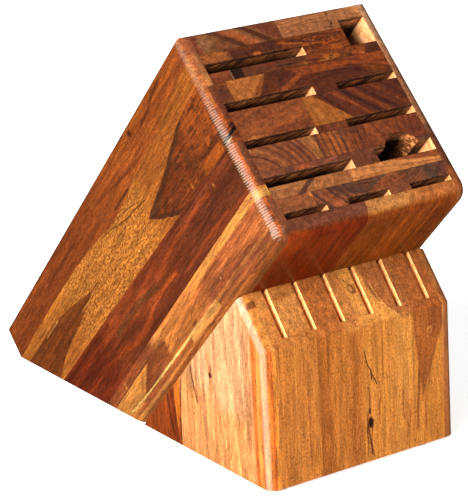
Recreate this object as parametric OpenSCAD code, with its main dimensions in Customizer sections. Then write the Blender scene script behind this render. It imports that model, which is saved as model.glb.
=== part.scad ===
// Empty two-tier knife block, glued up from acacia staves.
// +Z up, +Y to the back, front faces -Y, X across. Feet stand on z = 0.

/* [Main block] */
// width of the main block across both side panels, mm
block_w = 127; // [122:0.5:132]
// length of the main block from the slot face to the rear end, mm
block_l = 326; // [321:1:330]
// thickness of the main block from the back to the underside, mm
block_d = 130.2; // [129:0.2:132]
// height of the top back corner above the underside of the wood, mm
top_h = 241.7; // [240:0.1:243]
// angle between the slot face normal and the horizontal, degrees
tilt = 44.2; // [43.8:0.1:44.8]
// thickness of the side panels, mm
side_t = 7.6; // [7:0.1:8.5]
// radius of the rounded outer edges of the side panels, mm
edge_r = 6.4; // [5:0.1:6.8]
// radius of the rounded back edges, mm
back_r = 4; // [2:0.5:5]
// radius of the nose where the slot face turns into the underside, mm
nose_r = 9.4; // [8:0.1:9.4]

/* [Slots] */
// thickness of the two widest knife slots, mm
slot_wide = 5.5; // [4.5:0.1:5.6]
// thickness of the two middle slots and of their spacer board, mm
slot_mid = 4.5; // [4:0.1:5]
// thickness of the upper right slot, mm
slot_thin = 4.1; // [3.6:0.1:4.4]
// thickness of the lower left slot, mm
slot_low = 5.6; // [4.5:0.1:5.6]
// thickness of the slot that runs into the steel hole, mm
slot_steel = 7.8; // [6:0.1:8]
// thickness of the three small front slots, mm
slot_small = 3.4; // [3:0.1:4]
// depth of the long slots, mm
long_deep = 215; // [180:5:220]
// depth of the middle slots, mm
mid_deep = 185; // [150:5:190]
// depth of the small front slots, mm
small_deep = 130; // [100:5:150]
// radius of the steel hole, mm
steel_r = 12.7; // [11:0.1:13]
// depth of the steel hole, mm
steel_deep = 190; // [150:5:200]
// width of the square well for shears, mm
well_w = 17.4; // [15:0.2:19]
// depth of the square well for shears, mm
well_deep = 150; // [100:5:180]

/* [Base] */
// width of the base across both side panels, mm
base_w = 128; // [124:0.5:132]
// how far the base front stands behind the nose, mm
base_back = 21; // [18:0.5:24]
// height of the upright base front, mm
base_h = 80.4; // [78:0.2:84]
// height where the sloping base face meets the underside, mm
step_h = 107.2; // [105:0.2:109]
// width of the six steak knife slots, mm
steak_w = 3.6; // [3:0.1:3.9]
// distance between neighbouring steak knife slots, mm
steak_pitch = 19.3; // [18:0.1:20]
// reach of the steak knife slots down the sloping face, mm
steak_h = 28.9; // [24:0.1:30]
// depth of the steak knife slots, mm
steak_deep = 122; // [100:2:130]

/* [Feet] */
// diameter of a foot, mm
foot_d = 11; // [8:0.5:14]
// height of a foot, mm
foot_h = 2.4; // [1.5:0.1:4]

/* [Hidden] */
$fn = 64;
e = 0.01;
big = 500;
cs = cos(tilt);
sn = sin(tilt);
hw = block_w / 2;
ci = hw - side_t;
hb = base_w / 2;
bi = hb - side_t;
k = sn + cs - 1;
// place of the top back corner, so that the whole part is centred in Y
py = (block_d * sn - k * nose_r - block_l * cs + k * back_r) / 2;
pz = top_h + foot_h;
nose_y = py - block_d * sn;
fy = nose_y + base_back;
sj = (top_h - block_d * cs - step_h) / sn;
jy = nose_y + sj * cs;
sgnd = (top_h - block_d * cs) / sn;
gy = nose_y + sgnd * cs;
// lower limits of the core boards, measured down the slot face
b0 = 14;
b1 = 26.8;
b2 = 33;
b3 = 52;
b4 = 71;
b5 = b4 + slot_mid;
b6 = 90.5;
b7 = 100.2;
b8 = 107.8;
b9 = 120.3;
// slope of the upper seams of the left side panel
sa = -0.0268;
sb = 0.008;
steak_x0 = 0.5 - 2.5 * steak_pitch;

// local axes of the main block: x across, y down the slot face, z along the slots
module blk() translate([0, py, pz]) rotate([270 - tilt, 0, 0]) children();

// where a line v = a + b * s leaves the block (floor or rear end)
function send(a, b) = min(block_l, (top_h - a * cs) / (sn + b * cs));
// the line of the floor meets the rear end here
vend = (top_h - block_l * sn) / cs;

// slice of the block outline between two seams
function slice_pts(a1, c1, a2, c2) = concat(
  [[a1, 0], [a2, 0], [a2 + c2 * send(a2, c2), send(a2, c2)]],
  (a1 < vend && a2 + c2 * block_l > vend) ? [[vend, block_l]] : [],
  [[a1 + c1 * send(a1, c1), send(a1, c1)]]);
module slice(x0, x1, a1, c1, a2, c2)
  translate([x0, 0, 0]) rotate([90, 0, 90]) linear_extrude(x1 - x0)
    polygon(slice_pts(a1, c1, a2, c2));

// concave corner tool along local z, rounds the edge at x = 0, y = 0 (material at -x, +y)
module round_tool(r, l)
  difference() {
    translate([-r, -1, 0]) cube([r + 1, r + 1, l]);
    translate([-r, r, -1]) cylinder(r = r, h = l + 2);
  }

// cutters for the outside of a side panel, m = 1 right, -1 left
module side_cuts(m) mirror([m < 0 ? 1 : 0, 0, 0]) translate([hw, 0, 0]) {
  // edge at the slot face
  translate([0, block_d - nose_r, 0]) rotate([90, 0, 0])
    difference() {
      translate([-edge_r, -1, 0]) cube([edge_r + 1, edge_r + 1, block_d]);
      translate([-edge_r, edge_r, -1]) cylinder(r = edge_r, h = block_d + 2);
    }
  // edge at the underside
  translate([0, block_d, nose_r]) mirror([0, 1, 0]) round_tool(edge_r, block_l);
  // edge at the back
  translate([0, 0, -1]) round_tool(back_r, block_l + 2);
  // edge at the rear end
  translate([0, -1, block_l]) mirror([0, 0, 1]) rotate([90, 0, 0]) mirror([0, 0, 1])
    round_tool(back_r, 60);
  // nose
  translate([0, block_d - nose_r, nose_r]) rotate([0, 90, 0])
    rotate_extrude(angle = 90)
      difference() {
        translate([nose_r - edge_r, -edge_r]) square([edge_r + 1, edge_r + 1]);
        translate([nose_r - edge_r, -edge_r]) circle(r = edge_r);
      }
}
// cutters across the block: top back edge, nose, rear end
module cross_cuts() {
  translate([-big / 2, 0, 0]) rotate([90, 0, 90]) difference() {
    translate([-1, -1, 0]) cube([back_r + 1, back_r + 1, big]);
    translate([back_r, back_r, -1]) cylinder(r = back_r, h = big + 2);
  }
  translate([-big / 2, 0, block_l]) mirror([0, 0, 1]) rotate([90, 0, 90]) difference() {
    translate([-1, -1, 0]) cube([back_r + 1, back_r + 1, big]);
    translate([back_r, back_r, -1]) cylinder(r = back_r, h = big + 2);
  }
}
module nose_cut()
  translate([-big / 2, block_d, 0]) mirror([0, 1, 0]) rotate([90, 0, 90]) difference() {
    translate([-1, -1, 0]) cube([nose_r + 1, nose_r + 1, big]);
    translate([nose_r, nose_r, -1]) cylinder(r = nose_r, h = big + 2);
  }

module side_stave(m, a1, c1, a2, c2)
  blk() difference() {
    slice(m > 0 ? ci : -hw, m > 0 ? hw : -ci, a1, c1, a2, c2);
    side_cuts(m);
    cross_cuts();
    nose_cut();
  }

// rabbet for a slot: x range, lower limit, thickness, depth
module rabbet(x0, x1, v1, t, deep)
  translate([x0, v1 - t, -1]) cube([x1 - x0, t + 1, deep + 1]);

// one stave of a core board
module stave(x0, x1, v0, v1) slice(x0, x1, v0, 0, v1, 0);

// shear well in the right rear corner
module well() translate([ci - well_w, 9.8, -1]) cube([well_w + 1, b1 - 8.8, well_deep + 1]);

c1 = [0.72, 0.42, 0.20];
c2 = [0.45, 0.22, 0.10];
c3 = [0.82, 0.56, 0.28];
c4 = [0.58, 0.30, 0.15];

module side_l_1() color(c4) side_stave(-1, 0, 0, 26, 0);
module side_l_2() color(c3) side_stave(-1, 26, 0, 69.5, sa);
module side_l_3() color(c2) side_stave(-1, 69.5, sa, 97.5, sb);
module side_l_4() color(c1) side_stave(-1, 97.5, sb, block_d, 0);
module side_r_1() color(c1) side_stave(1, 0, 0, 44, 0);
module side_r_2() color(c4) side_stave(1, 44, 0, 90, 0);
module side_r_3() color(c3) side_stave(1, 90, 0, block_d, 0);

module back_1() color(c4) blk() difference() { stave(-ci, -0.5, 0, b0); cross_cuts(); }
module back_2() color(c3) blk() difference() { stave(-0.5, ci, 0, b0); cross_cuts(); well(); }

module board1_1() color(c3) blk() difference() {
  stave(-ci, -36.5, b0, b1); rabbet(-ci - 1, 8.5, b1, slot_wide, long_deep); }
module board1_2() color(c2) blk() difference() {
  stave(-36.5, -18, b0, b1); rabbet(-ci - 1, 8.5, b1, slot_wide, long_deep); }
module board1_3() color(c4) blk() difference() {
  stave(-18, ci, b0, b1); rabbet(-ci - 1, 8.5, b1, slot_wide, long_deep); well(); }

module board2_1() color(c4) blk() stave(-ci, -43.2, b1, b2);
module board2_2() color(c2) blk() stave(-43.2, 6.5, b1, b2);
module board2_3() color(c3) blk() stave(6.5, ci, b1, b2);

module board3_1() color(c4) blk() difference() {
  stave(-ci, -48.6, b2, b3); rabbet(-ci - 1, 1.6, b3, slot_wide, long_deep); }
module board3_2() color(c1) blk() difference() {
  stave(-48.6, ci, b2, b3);
  rabbet(-ci - 1, 1.6, b3, slot_wide, long_deep);
  rabbet(16.5, ci + 1, b3, slot_thin, mid_deep); }

module board4_1() color(c4) blk() stave(-ci, -9.6, b3, b4);
module board4_2() color(c2) blk() stave(-9.6, ci, b3, b4);

// thin spacer board, cut out on both sides for the two middle slots
module board5() color(c2) blk() difference() {
  stave(-ci, ci, b4, b5);
  translate([-ci - 1, b4 - 1, -1]) cube([ci + 1 - 9.6, slot_mid + 2, mid_deep + 1]);
  translate([10.4, b4 - 1, -1]) cube([ci, slot_mid + 2, mid_deep + 1]); }

module steel_hole() translate([36.7, b7 - 2.6, -1]) cylinder(r = steel_r, h = steel_deep + 1);

module board6_1() color(c1) blk() stave(-ci, -14, b5, b6);
module board6_2() color(c4) blk() stave(-14, 6.5, b5, b6);
module board6_3() color(c4) blk() difference() { stave(6.5, ci, b5, b6); steel_hole(); }

module board7_1() color(c2) blk() difference() {
  stave(-ci, -6, b6, b7); rabbet(-ci - 1, 1.6, b7, slot_low, mid_deep); }
module board7_2() color(c4) blk() difference() {
  stave(-6, ci, b6, b7);
  rabbet(-ci - 1, 1.6, b7, slot_low, mid_deep);
  rabbet(17.7, ci + 1, b7, slot_steel, mid_deep);
  steel_hole(); }

module board8_1() color(c4) blk() stave(-ci, -4.7, b7, b8);
module board8_2() color(c3) blk() stave(-4.7, ci, b7, b8);

module board9_1() color(c1) blk() difference() {
  stave(-ci, -32.5, b8, b9); rabbet(-54.5, -27, b9, slot_small, small_deep); }
module board9_2() color(c2) blk() difference() {
  stave(-32.5, ci, b8, b9);
  rabbet(-54.5, -27, b9, slot_small, small_deep);
  rabbet(-13.5, 14, b9, slot_small, small_deep);
  rabbet(27.8, 55.3, b9, slot_small, small_deep); }

module under_1() color(c2) blk() difference() { stave(-ci, -4.5, b9, block_d); nose_cut(); }
module under_2() color(c3) blk() difference() { stave(-4.5, ci, b9, block_d); nose_cut(); }

// base: outline in Y and Z
module base_slice(x0, x1, y0, y1)
  intersection() {
    translate([x0, 0, 0]) rotate([90, 0, 90]) linear_extrude(x1 - x0)
      polygon([[fy, foot_h], [fy, foot_h + base_h], [jy, foot_h + step_h], [gy, foot_h]]);
    translate([x0 - 1, y0, 0]) cube([x1 - x0 + 2, y1 - y0, big]);
  }
slope = atan2(step_h - base_h, jy - fy);
module base_cuts(m) mirror([m < 0 ? 1 : 0, 0, 0]) {
  translate([hb, fy, 0]) round_tool(edge_r, foot_h + base_h);
  translate([hb, fy, foot_h + base_h]) rotate([slope - 90, 0, 0])
    translate([0, 0, -edge_r]) round_tool(edge_r, 80);
}
module base_side(m, y0, y1)
  difference() {
    base_slice(m > 0 ? bi : -hb, m > 0 ? hb : -bi, y0, y1);
    base_cuts(m);
  }
module steak_cut()
  blk() for (i = [0:5])
    translate([steak_x0 + i * steak_pitch - steak_w / 2, block_d - 2, sj - 40])
      cube([steak_w, steak_h + 2, steak_deep + 40]);
module base_core(x0, x1)
  difference() { base_slice(x0, x1, -big, big); steak_cut(); }

module base_l_1() color(c1) base_side(-1, fy - 1, fy + 13);
module base_l_2() color(c3) base_side(-1, fy + 13, fy + 89);
module base_l_3() color(c2) base_side(-1, fy + 89, gy + 1);
module base_r_1() color(c3) base_side(1, fy - 1, fy + 40);
module base_r_2() color(c4) base_side(1, fy + 40, fy + 92);
module base_r_3() color(c1) base_side(1, fy + 92, gy + 1);
module base_c_1() color(c3) base_core(-bi, -29);
module base_c_2() color(c4) base_core(-29, 0.5);
module base_c_3() color(c3) base_core(0.5, 36.5);
module base_c_4() color(c4) base_core(36.5, bi);

// soft bumper with a rounded lower rim
module foot()
  rotate_extrude() difference() {
    square([foot_d / 2, foot_h]);
    difference() {
      translate([foot_d / 2 - 1.2, -1]) square([2, 2.2]);
      translate([foot_d / 2 - 1.2, 1.2]) circle(r = 1.2);
    }
  }
module feet() color([0.85, 0.87, 0.88])
  for (p = [[-53.5, fy + 7.8], [42.5, fy + 7.8], [-50, gy + 128], [49, gy + 128]])
    translate([p[0], p[1], 0]) foot();

side_l_1();
side_l_2();
side_l_3();
side_l_4();
side_r_1();
side_r_2();
side_r_3();
back_1();
back_2();
board1_1();
board1_2();
board1_3();
board2_1();
board2_2();
board2_3();
board3_1();
board3_2();
board4_1();
board4_2();
board5();
board6_1();
board6_2();
board6_3();
board7_1();
board7_2();
board8_1();
board8_2();
board9_1();
board9_2();
under_1();
under_2();
base_l_1();
base_l_2();
base_l_3();
base_r_1();
base_r_2();
base_r_3();
base_c_1();
base_c_2();
base_c_3();
base_c_4();
feet();
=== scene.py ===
import bpy, bmesh, math
from mathutils import Vector, Matrix, Euler

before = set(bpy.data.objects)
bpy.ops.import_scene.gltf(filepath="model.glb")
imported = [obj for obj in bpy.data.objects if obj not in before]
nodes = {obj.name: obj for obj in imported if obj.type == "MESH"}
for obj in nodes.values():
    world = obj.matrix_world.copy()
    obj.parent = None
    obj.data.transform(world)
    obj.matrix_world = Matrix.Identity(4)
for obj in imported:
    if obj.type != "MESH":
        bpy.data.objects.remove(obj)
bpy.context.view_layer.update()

# ---------------------------------------------------------------- dimensions repeated from the CAD (mm)
TILT = math.radians(44.2)
SN, CS = math.sin(TILT), math.cos(TILT)
BW, BL, BD, TOP, NOSE, BACK = 127.0, 326.0, 130.2, 241.7, 9.4, 4.0
ST, ER, FOOT = 7.6, 6.4, 2.4
KK = SN + CS - 1
PY = (BD * SN - KK * NOSE - BL * CS + KK * BACK) / 2
PZ = TOP + FOOT
FY = PY - BD * SN + 21.0
HW, CI = BW / 2, BW / 2 - ST
HB, BI = 64.0, 64.0 - ST
SJ = (TOP - BD * CS - 107.2) / SN
JY = PY - BD * SN + SJ * CS


# ---------------------------------------------------------------- node graph helper
class G:
    """Small helper: builds shader nodes from Python expressions."""

    def __init__(self, name):
        self.mat = bpy.data.materials.new(name)
        self.mat.use_nodes = True
        self.t = self.mat.node_tree
        self.t.nodes.clear()
        self.n = 0

    def node(self, kind, **props):
        nd = self.t.nodes.new(kind)
        nd.location = (-(self.n % 40) * 180, -(self.n // 40) * 260)
        self.n += 1
        for k, v in props.items():
            setattr(nd, k, v)
        return nd

    def put(self, socket, value):
        if value is None:
            return
        if isinstance(value, bpy.types.NodeSocket):
            self.t.links.new(value, socket)
        else:
            socket.default_value = value

    def m(self, op, a, b=None, c=None, clamp=False):
        nd = self.node("ShaderNodeMath", operation=op, use_clamp=clamp)
        self.put(nd.inputs[0], a)
        if b is not None:
            self.put(nd.inputs[1], b)
        if c is not None:
            self.put(nd.inputs[2], c)
        return nd.outputs[0]

    def add(self, a, b):
        return self.m("ADD", a, b)

    def sub(self, a, b):
        return self.m("SUBTRACT", a, b)

    def mul(self, a, b):
        return self.m("MULTIPLY", a, b)

    def mad(self, a, b, c):
        return self.m("MULTIPLY_ADD", a, b, c)

    def mx(self, a, b):
        return self.m("MAXIMUM", a, b)

    def mn(self, a, b):
        return self.m("MINIMUM", a, b)

    def rng(self, v, a, b, c=0.0, d=1.0, smooth=True):
        nd = self.node("ShaderNodeMapRange", clamp=True,
                       interpolation_type="SMOOTHSTEP" if smooth else "LINEAR")
        self.put(nd.inputs[0], v)
        for i, x in zip((1, 2, 3, 4), (a, b, c, d)):
            self.put(nd.inputs[i], x)
        return nd.outputs[0]

    def band(self, v, lo, hi, soft):
        """1 between lo and hi, with soft sides"""
        return self.mul(self.rng(v, self._o(lo, -soft), self._o(lo, soft)),
                        self.rng(v, self._o(hi, soft), self._o(hi, -soft)))

    def _o(self, v, d):
        return v + d if isinstance(v, (int, float)) else self.add(v, d)

    def xyz(self, x, y, z):
        nd = self.node("ShaderNodeCombineXYZ")
        for i, c in enumerate((x, y, z)):
            self.put(nd.inputs[i], c)
        return nd.outputs[0]

    def split(self, v):
        nd = self.node("ShaderNodeSeparateXYZ")
        self.put(nd.inputs[0], v)
        return nd.outputs[0], nd.outputs[1], nd.outputs[2]

    def noise(self, vec, scale=1.0, detail=2.0, rough=0.5, dist=0.0, out=0):
        nd = self.node("ShaderNodeTexNoise", noise_dimensions="3D")
        self.put(nd.inputs["Vector"], vec)
        nd.inputs["Scale"].default_value = scale
        nd.inputs["Detail"].default_value = detail
        nd.inputs["Roughness"].default_value = rough
        nd.inputs["Distortion"].default_value = dist
        return nd.outputs[out]

    def voro(self, vec, scale=1.0, feature="F1", rand=1.0):
        nd = self.node("ShaderNodeTexVoronoi", feature=feature)
        self.put(nd.inputs["Vector"], vec)
        nd.inputs["Scale"].default_value = scale
        nd.inputs["Randomness"].default_value = rand
        return nd.outputs[0]

    def mix(self, f, a, b, blend="MIX"):
        nd = self.node("ShaderNodeMix", data_type="RGBA", blend_type=blend)
        nd.clamp_factor = True
        self.put(nd.inputs[0], f)
        self.put(nd.inputs[6], a)
        self.put(nd.inputs[7], b)
        return nd.outputs[2]

    def lerp(self, f, a, b):
        nd = self.node("ShaderNodeMix", data_type="FLOAT")
        self.put(nd.inputs[0], f)
        self.put(nd.inputs[2], a)
        self.put(nd.inputs[3], b)
        return nd.outputs[0]

    def ramp(self, f, stops):
        nd = self.node("ShaderNodeValToRGB")
        cr = nd.color_ramp
        cr.interpolation = "B_SPLINE" if len(stops) > 2 else "LINEAR"
        while len(cr.elements) < len(stops):
            cr.elements.new(0.5)
        for e, (p, c) in zip(cr.elements, stops):
            e.position = p
            e.color = c
        self.put(nd.inputs[0], f)
        return nd.outputs[0]


def srgb(r, g, b, k=1.0):
    def f(c):
        c = c / 255.0
        return c / 12.92 if c <= 0.04045 else ((c + 0.055) / 1.055) ** 2.4
    return (min(f(r) * k, 1), min(f(g) * k, 1), min(f(b) * k, 1), 1.0)


# ---------------------------------------------------------------- camera
def make_camera():
    az, el, roll = -0.5710, 0.3013, -0.0567
    ca, sa, ce, se = math.cos(az), math.sin(az), math.cos(el), math.sin(el)
    back = Vector((sa * ce, -ca * ce, se))
    fwd = -back
    right = fwd.cross(Vector((0, 0, 1))).normalized()
    up = right.cross(fwd)
    cr, sr = math.cos(roll), math.sin(roll)
    r2 = right * cr + up * sr
    u2 = up * cr - right * sr
    cam = bpy.data.cameras.new("camera")
    ob = bpy.data.objects.new("camera", cam)
    bpy.context.scene.collection.objects.link(ob)
    M = Matrix((r2, u2, back)).transposed().to_4x4()
    M.translation = Vector((-0.66934, -1.06535, 0.48451))
    ob.matrix_world = M
    cam.sensor_fit = "HORIZONTAL"
    cam.sensor_width = 36.0
    cam.lens = 36.0 * 2213.7 / 468.0
    cam.shift_x = -(237.68 - 234.0) / 468.0
    cam.shift_y = (249.13 - 250.0) / 468.0
    cam.clip_end = 50
    bpy.context.scene.camera = ob


make_camera()


# ---------------------------------------------------------------- light and floor
def area(name, loc, target, size, power, color=(1, 1, 1), size_y=None):
    li = bpy.data.lights.new(name, "AREA")
    li.energy = power
    li.color = color
    li.size = size
    if size_y:
        li.shape = "RECTANGLE"
        li.size_y = size_y
    ob = bpy.data.objects.new(name, li)
    bpy.context.scene.collection.objects.link(ob)
    ob.location = loc
    d = Vector(target) - Vector(loc)
    ob.rotation_euler = d.to_track_quat("-Z", "Y").to_euler()
    return ob


def studio():
    sc = bpy.context.scene
    # world: dim room with one tall white card on the left, which the gloss picks up
    w = bpy.data.worlds.new("world")
    sc.world = w
    w.use_nodes = True
    t = w.node_tree
    bg = t.nodes["Background"]
    tc = t.nodes.new("ShaderNodeTexCoord")

    def vm(k):
        nd = t.nodes.new("ShaderNodeVectorMath")
        nd.operation = "DOT_PRODUCT"
        t.links.new(tc.outputs["Generated"], nd.inputs[0])
        nd.inputs[1].default_value = k
        return nd.outputs["Value"]

    def mr(v, a, b, c=0.0, d=1.0):
        nd = t.nodes.new("ShaderNodeMapRange")
        nd.interpolation_type = "SMOOTHSTEP"
        t.links.new(v, nd.inputs[0])
        for i, x in zip((1, 2, 3, 4), (a, b, c, d)):
            nd.inputs[i].default_value = x
        return nd.outputs[0]

    def op(kind, a, b):
        nd = t.nodes.new("ShaderNodeMath")
        nd.operation = kind
        t.links.new(a, nd.inputs[0])
        if isinstance(b, (int, float)):
            nd.inputs[1].default_value = b
        else:
            t.links.new(b, nd.inputs[1])
        return nd.outputs[0]

    up = vm((0, 0, 1))
    side = vm((math.sin(math.radians(-82)), -math.cos(math.radians(-82)), 0))
    card = op("MULTIPLY", mr(side, 0.70, 0.84), op("MULTIPLY", mr(up, -0.56, -0.46), mr(up, 0.82, 0.60)))
    room = mr(up, -0.05, 0.25, 0.03, ROOM)
    t.links.new(op("ADD", op("MULTIPLY", card, CARD), room), bg.inputs[1])
    bg.inputs[0].default_value = (1.0, 0.94, 0.86, 1)
    c = (0, 0, 0.12)
    area("key", (-1.13, -0.60, 0.68), c, 0.55, KEY, (1.0, 0.975, 0.94)).visible_glossy = False
    area("front", (0.25, -1.6, 0.65), c, 0.9, FRONT, (1.0, 0.99, 0.97))
    area("top", (0.1, 0.1, 1.7), c, 1.0, TOPL)
    # floor
    me = bpy.data.meshes.new("floor")
    s = 6.0
    me.from_pydata([(-s, -s, 0), (s, -s, 0), (s, s, 0), (-s, s, 0)], [], [(0, 1, 2, 3)])
    fl = bpy.data.objects.new("floor", me)
    sc.collection.objects.link(fl)
    fl.visible_glossy = False
    g = G("floor_mat")
    out = g.node("ShaderNodeOutputMaterial")
    b = g.node("ShaderNodeBsdfPrincipled")
    b.inputs["Base Color"].default_value = (0.93, 0.93, 0.93, 1)
    b.inputs["Roughness"].default_value = 0.9
    b.inputs["Specular IOR Level"].default_value = 0.1
    b.inputs["Emission Color"].default_value = (1, 1, 1, 1)
    b.inputs["Emission Strength"].default_value = FLOOR_GLOW
    g.t.links.new(b.outputs[0], out.inputs[0])
    me.materials.append(g.mat)
    sc.view_settings.view_transform = "Standard"
    sc.view_settings.look = "None"
    sc.view_settings.exposure = 0.0
    sc.view_settings.gamma = 1.0


KEY, FRONT, TOPL, ROOM, CARD, FLOOR_GLOW = 46.0, 7.0, 4.0, 0.20, 8.5, 0.62
studio()


# ---------------------------------------------------------------- wood
def lin(c, k=(1, 1, 1)):
    r = srgb(*c)
    return tuple(min(r[i] * k[i], 1.0) for i in range(3)) + (1.0,)


class Wood(G):
    """Lacquered acacia. Lengths in the shader are millimetres:
    block staves use x across, v down the slot face, s along the grain;
    base staves use x across, h down from the step, y back from the base front."""

    def __init__(self, name, seed, kind):
        super().__init__(name)
        self.kind = kind
        self.seed = seed
        self.cr = 0.62
        tc = self.node("ShaderNodeTexCoord")
        ge = self.node("ShaderNodeNewGeometry")
        self.P, self.N = tc.outputs["Object"], ge.outputs["Normal"]
        self.x = self.dot(self.P, (1000, 0, 0), HW)
        self.z = self.dot(self.P, (0, 0, 1000), 0)
        if kind == "block":
            self.v = self.dot(self.P, (0, -1000 * SN, -1000 * CS), PY * SN + PZ * CS)
            self.s = self.dot(self.P, (0, 1000 * CS, -1000 * SN), -PY * CS + PZ * SN)
            self.end = self.rng(self.m("ABSOLUTE", self.dot(self.N, (0, CS, -SN), 0)), 0.55, 0.9)
        else:
            self.v = self.dot(self.P, (0, 1000, 0), -FY)
            self.s = self.dot(self.P, (0, 0, -1000), 109.6)
            self.end = self.rng(self.m("ABSOLUTE", self.dot(self.N, (0, 0, 1), 0)), 0.25, 0.5)
        self.h = self.dot(self.P, (0, 0, -1000), 82.8)
        self.nx = self.dot(self.N, (1, 0, 0), 0)
        # broad wander of the figure
        so = seed * 7.31
        self.wl = self.noise(self.xyz(self.mad(self.x, 0.055, so), self.mad(self.v, 0.055, so), self.mul(self.s, 0.006)),
                             1.0, 2.0, 0.5, out=1)
        self.w1, self.w2, self.w3 = self.split(self.wl)
        self.ws = self.noise(self.xyz(self.mad(self.x, 0.45, so), self.mul(self.v, 0.45), self.mul(self.s, 0.12)),
                             1.0, 3.0, 0.6, out=1)
        self.q1, self.q2, self.q3 = self.split(self.ws)

    def dot(self, vec, k, c):
        nd = self.node("ShaderNodeVectorMath", operation="DOT_PRODUCT")
        self.put(nd.inputs[0], vec)
        nd.inputs[1].default_value = k
        return nd.outputs["Value"] if c == 0 else self.add(nd.outputs["Value"], c)

    def plane(self, a, b, wob=1.6):
        """face coordinates with a slightly ragged edge"""
        self.a = self.add(a, self.mad(self.q1, wob, -wob / 2))
        self.b = self.add(b, self.mad(self.q2, wob, -wob / 2))

    # masks in face coordinates ------------------------------------------------
    def half(self, p, q, soft=0.6):
        """1 on the right-hand side when walking from p to q (b points down)"""
        dx, dy = q[0] - p[0], q[1] - p[1]
        n = math.hypot(dx, dy)
        nx, ny = -dy / n, dx / n
        d = self.mad(self.a, nx, self.mad(self.b, ny, -(nx * p[0] + ny * p[1])))
        soft *= self.cr
        return self.rng(d, -soft, soft)

    def seg(self, p, q, w, soft=0.5, taper=None):
        dx, dy = q[0] - p[0], q[1] - p[1]
        n = math.hypot(dx, dy)
        ux, uy = dx / n, dy / n
        t = self.mad(self.a, ux, self.mad(self.b, uy, -(ux * p[0] + uy * p[1])))
        d = self.m("ABSOLUTE", self.mad(self.a, -uy, self.mad(self.b, ux, uy * p[0] - ux * p[1])))
        ts = taper or max(soft * 2, 0.12 * n)
        soft *= self.cr
        return self.mul(self.rng(d, w + soft, max(w - soft, 0)), self.mul(self.rng(t, -ts, ts), self.rng(t, n + ts, n - ts)))

    def ell(self, cx, cy, rx, ry, ang=0, soft=0.3):
        c, s_ = math.cos(math.radians(ang)), math.sin(math.radians(ang))
        da, db = self.add(self.a, -cx), self.add(self.b, -cy)
        u = self.mul(self.mad(da, c, self.mul(db, s_)), 1 / rx)
        w = self.mul(self.mad(da, -s_, self.mul(db, c)), 1 / ry)
        r = self.m("SQRT", self.mad(u, u, self.mul(w, w)))
        return self.rng(r, 1 + soft, 1 - soft)

    def curve(self, pts, x=None):
        """piecewise smooth curve b(a) through the given points"""
        xs, ys = [p[0] for p in pts], [p[1] for p in pts]
        x0, x1, y0, y1 = xs[0], xs[-1], min(ys), max(ys)
        if y1 - y0 < 1e-6:
            y1 = y0 + 1
        f = self.rng(x if x is not None else self.a, x0, x1, smooth=False)
        nd = self.node("ShaderNodeFloatCurve")
        c = nd.mapping.curves[0]
        pp = [((p[0] - x0) / (x1 - x0), (p[1] - y0) / (y1 - y0)) for p in pts]
        c.points[0].location = pp[0]
        c.points[1].location = pp[-1]
        for p in pp[1:-1]:
            c.points.new(*p)
        nd.mapping.update()
        self.put(nd.inputs["Value"], f)
        return self.mad(nd.outputs[0], y1 - y0, y0)

    def below(self, pts, soft=0.6):
        """1 where b is beyond the curve b(a)"""
        return self.rng(self.sub(self.b, self.curve(pts)), -soft * self.cr, soft * self.cr)

    def line(self, pts, w, soft=0.4, fade=2.0):
        """thin stroke that follows b(a)"""
        d = self.m("ABSOLUTE", self.sub(self.b, self.curve(pts)))
        soft *= self.cr
        m_ = self.rng(d, w + soft, max(w - soft, 0))
        a0, a1 = pts[0][0], pts[-1][0]
        return self.mul(m_, self.mul(self.rng(self.a, a0 - fade, a0 + fade), self.rng(self.a, a1 + fade, a1 - fade)))

    def vline(self, pts, w, soft=0.4, fade=2.0):
        """thin stroke a(b), for strokes that run down the face; points are (b, a)"""
        d = self.m("ABSOLUTE", self.sub(self.a, self.curve(pts, self.b)))
        soft *= self.cr
        m_ = self.rng(d, w + soft, max(w - soft, 0))
        b0, b1 = pts[0][0], pts[-1][0]
        return self.mul(m_, self.mul(self.rng(self.b, b0 - fade, b0 + fade), self.rng(self.b, b1 + fade, b1 - fade)))

    def box(self, a0, b0, a1, b1, soft=0.6):
        return self.mul(self.band(self.a, a0, a1, soft), self.band(self.b, b0, b1, soft))

    # grain --------------------------------------------------------------------
    def rings(self, pith, f, drift=0.0, wob=3.0):
        """irregular growth bands around a pith running along the grain"""
        if pith[0] == "line":                      # flat bands at an angle (degrees) on the end face
            th = math.radians(pith[1])
            r = self.mad(self.x, math.sin(th), self.mul(self.v, math.cos(th)))
        else:
            dx, dv = self.add(self.x, -pith[0]), self.add(self.v, -pith[1])
            r = self.m("SQRT", self.mad(dx, dx, self.mul(dv, dv)))
        if drift:
            r = self.mad(self.s, drift, r)
        r = self.add(r, self.mad(self.w1, wob, self.mad(self.q3, 0.7, -0.35)))
        self.r = r
        a = self.noise(self.xyz(self.mul(r, f), self.seed * 3.7, self.mul(self.s, 0.004)), 1.0, 3.0, 0.62)
        b = self.noise(self.xyz(self.mul(r, f * 3.1), self.seed * 1.9 + 4, self.mul(self.s, 0.006)), 1.0, 1.5, 0.5)
        return self.rng(a, 0.44, 0.60), self.rng(b, 0.53, 0.64)

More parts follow.
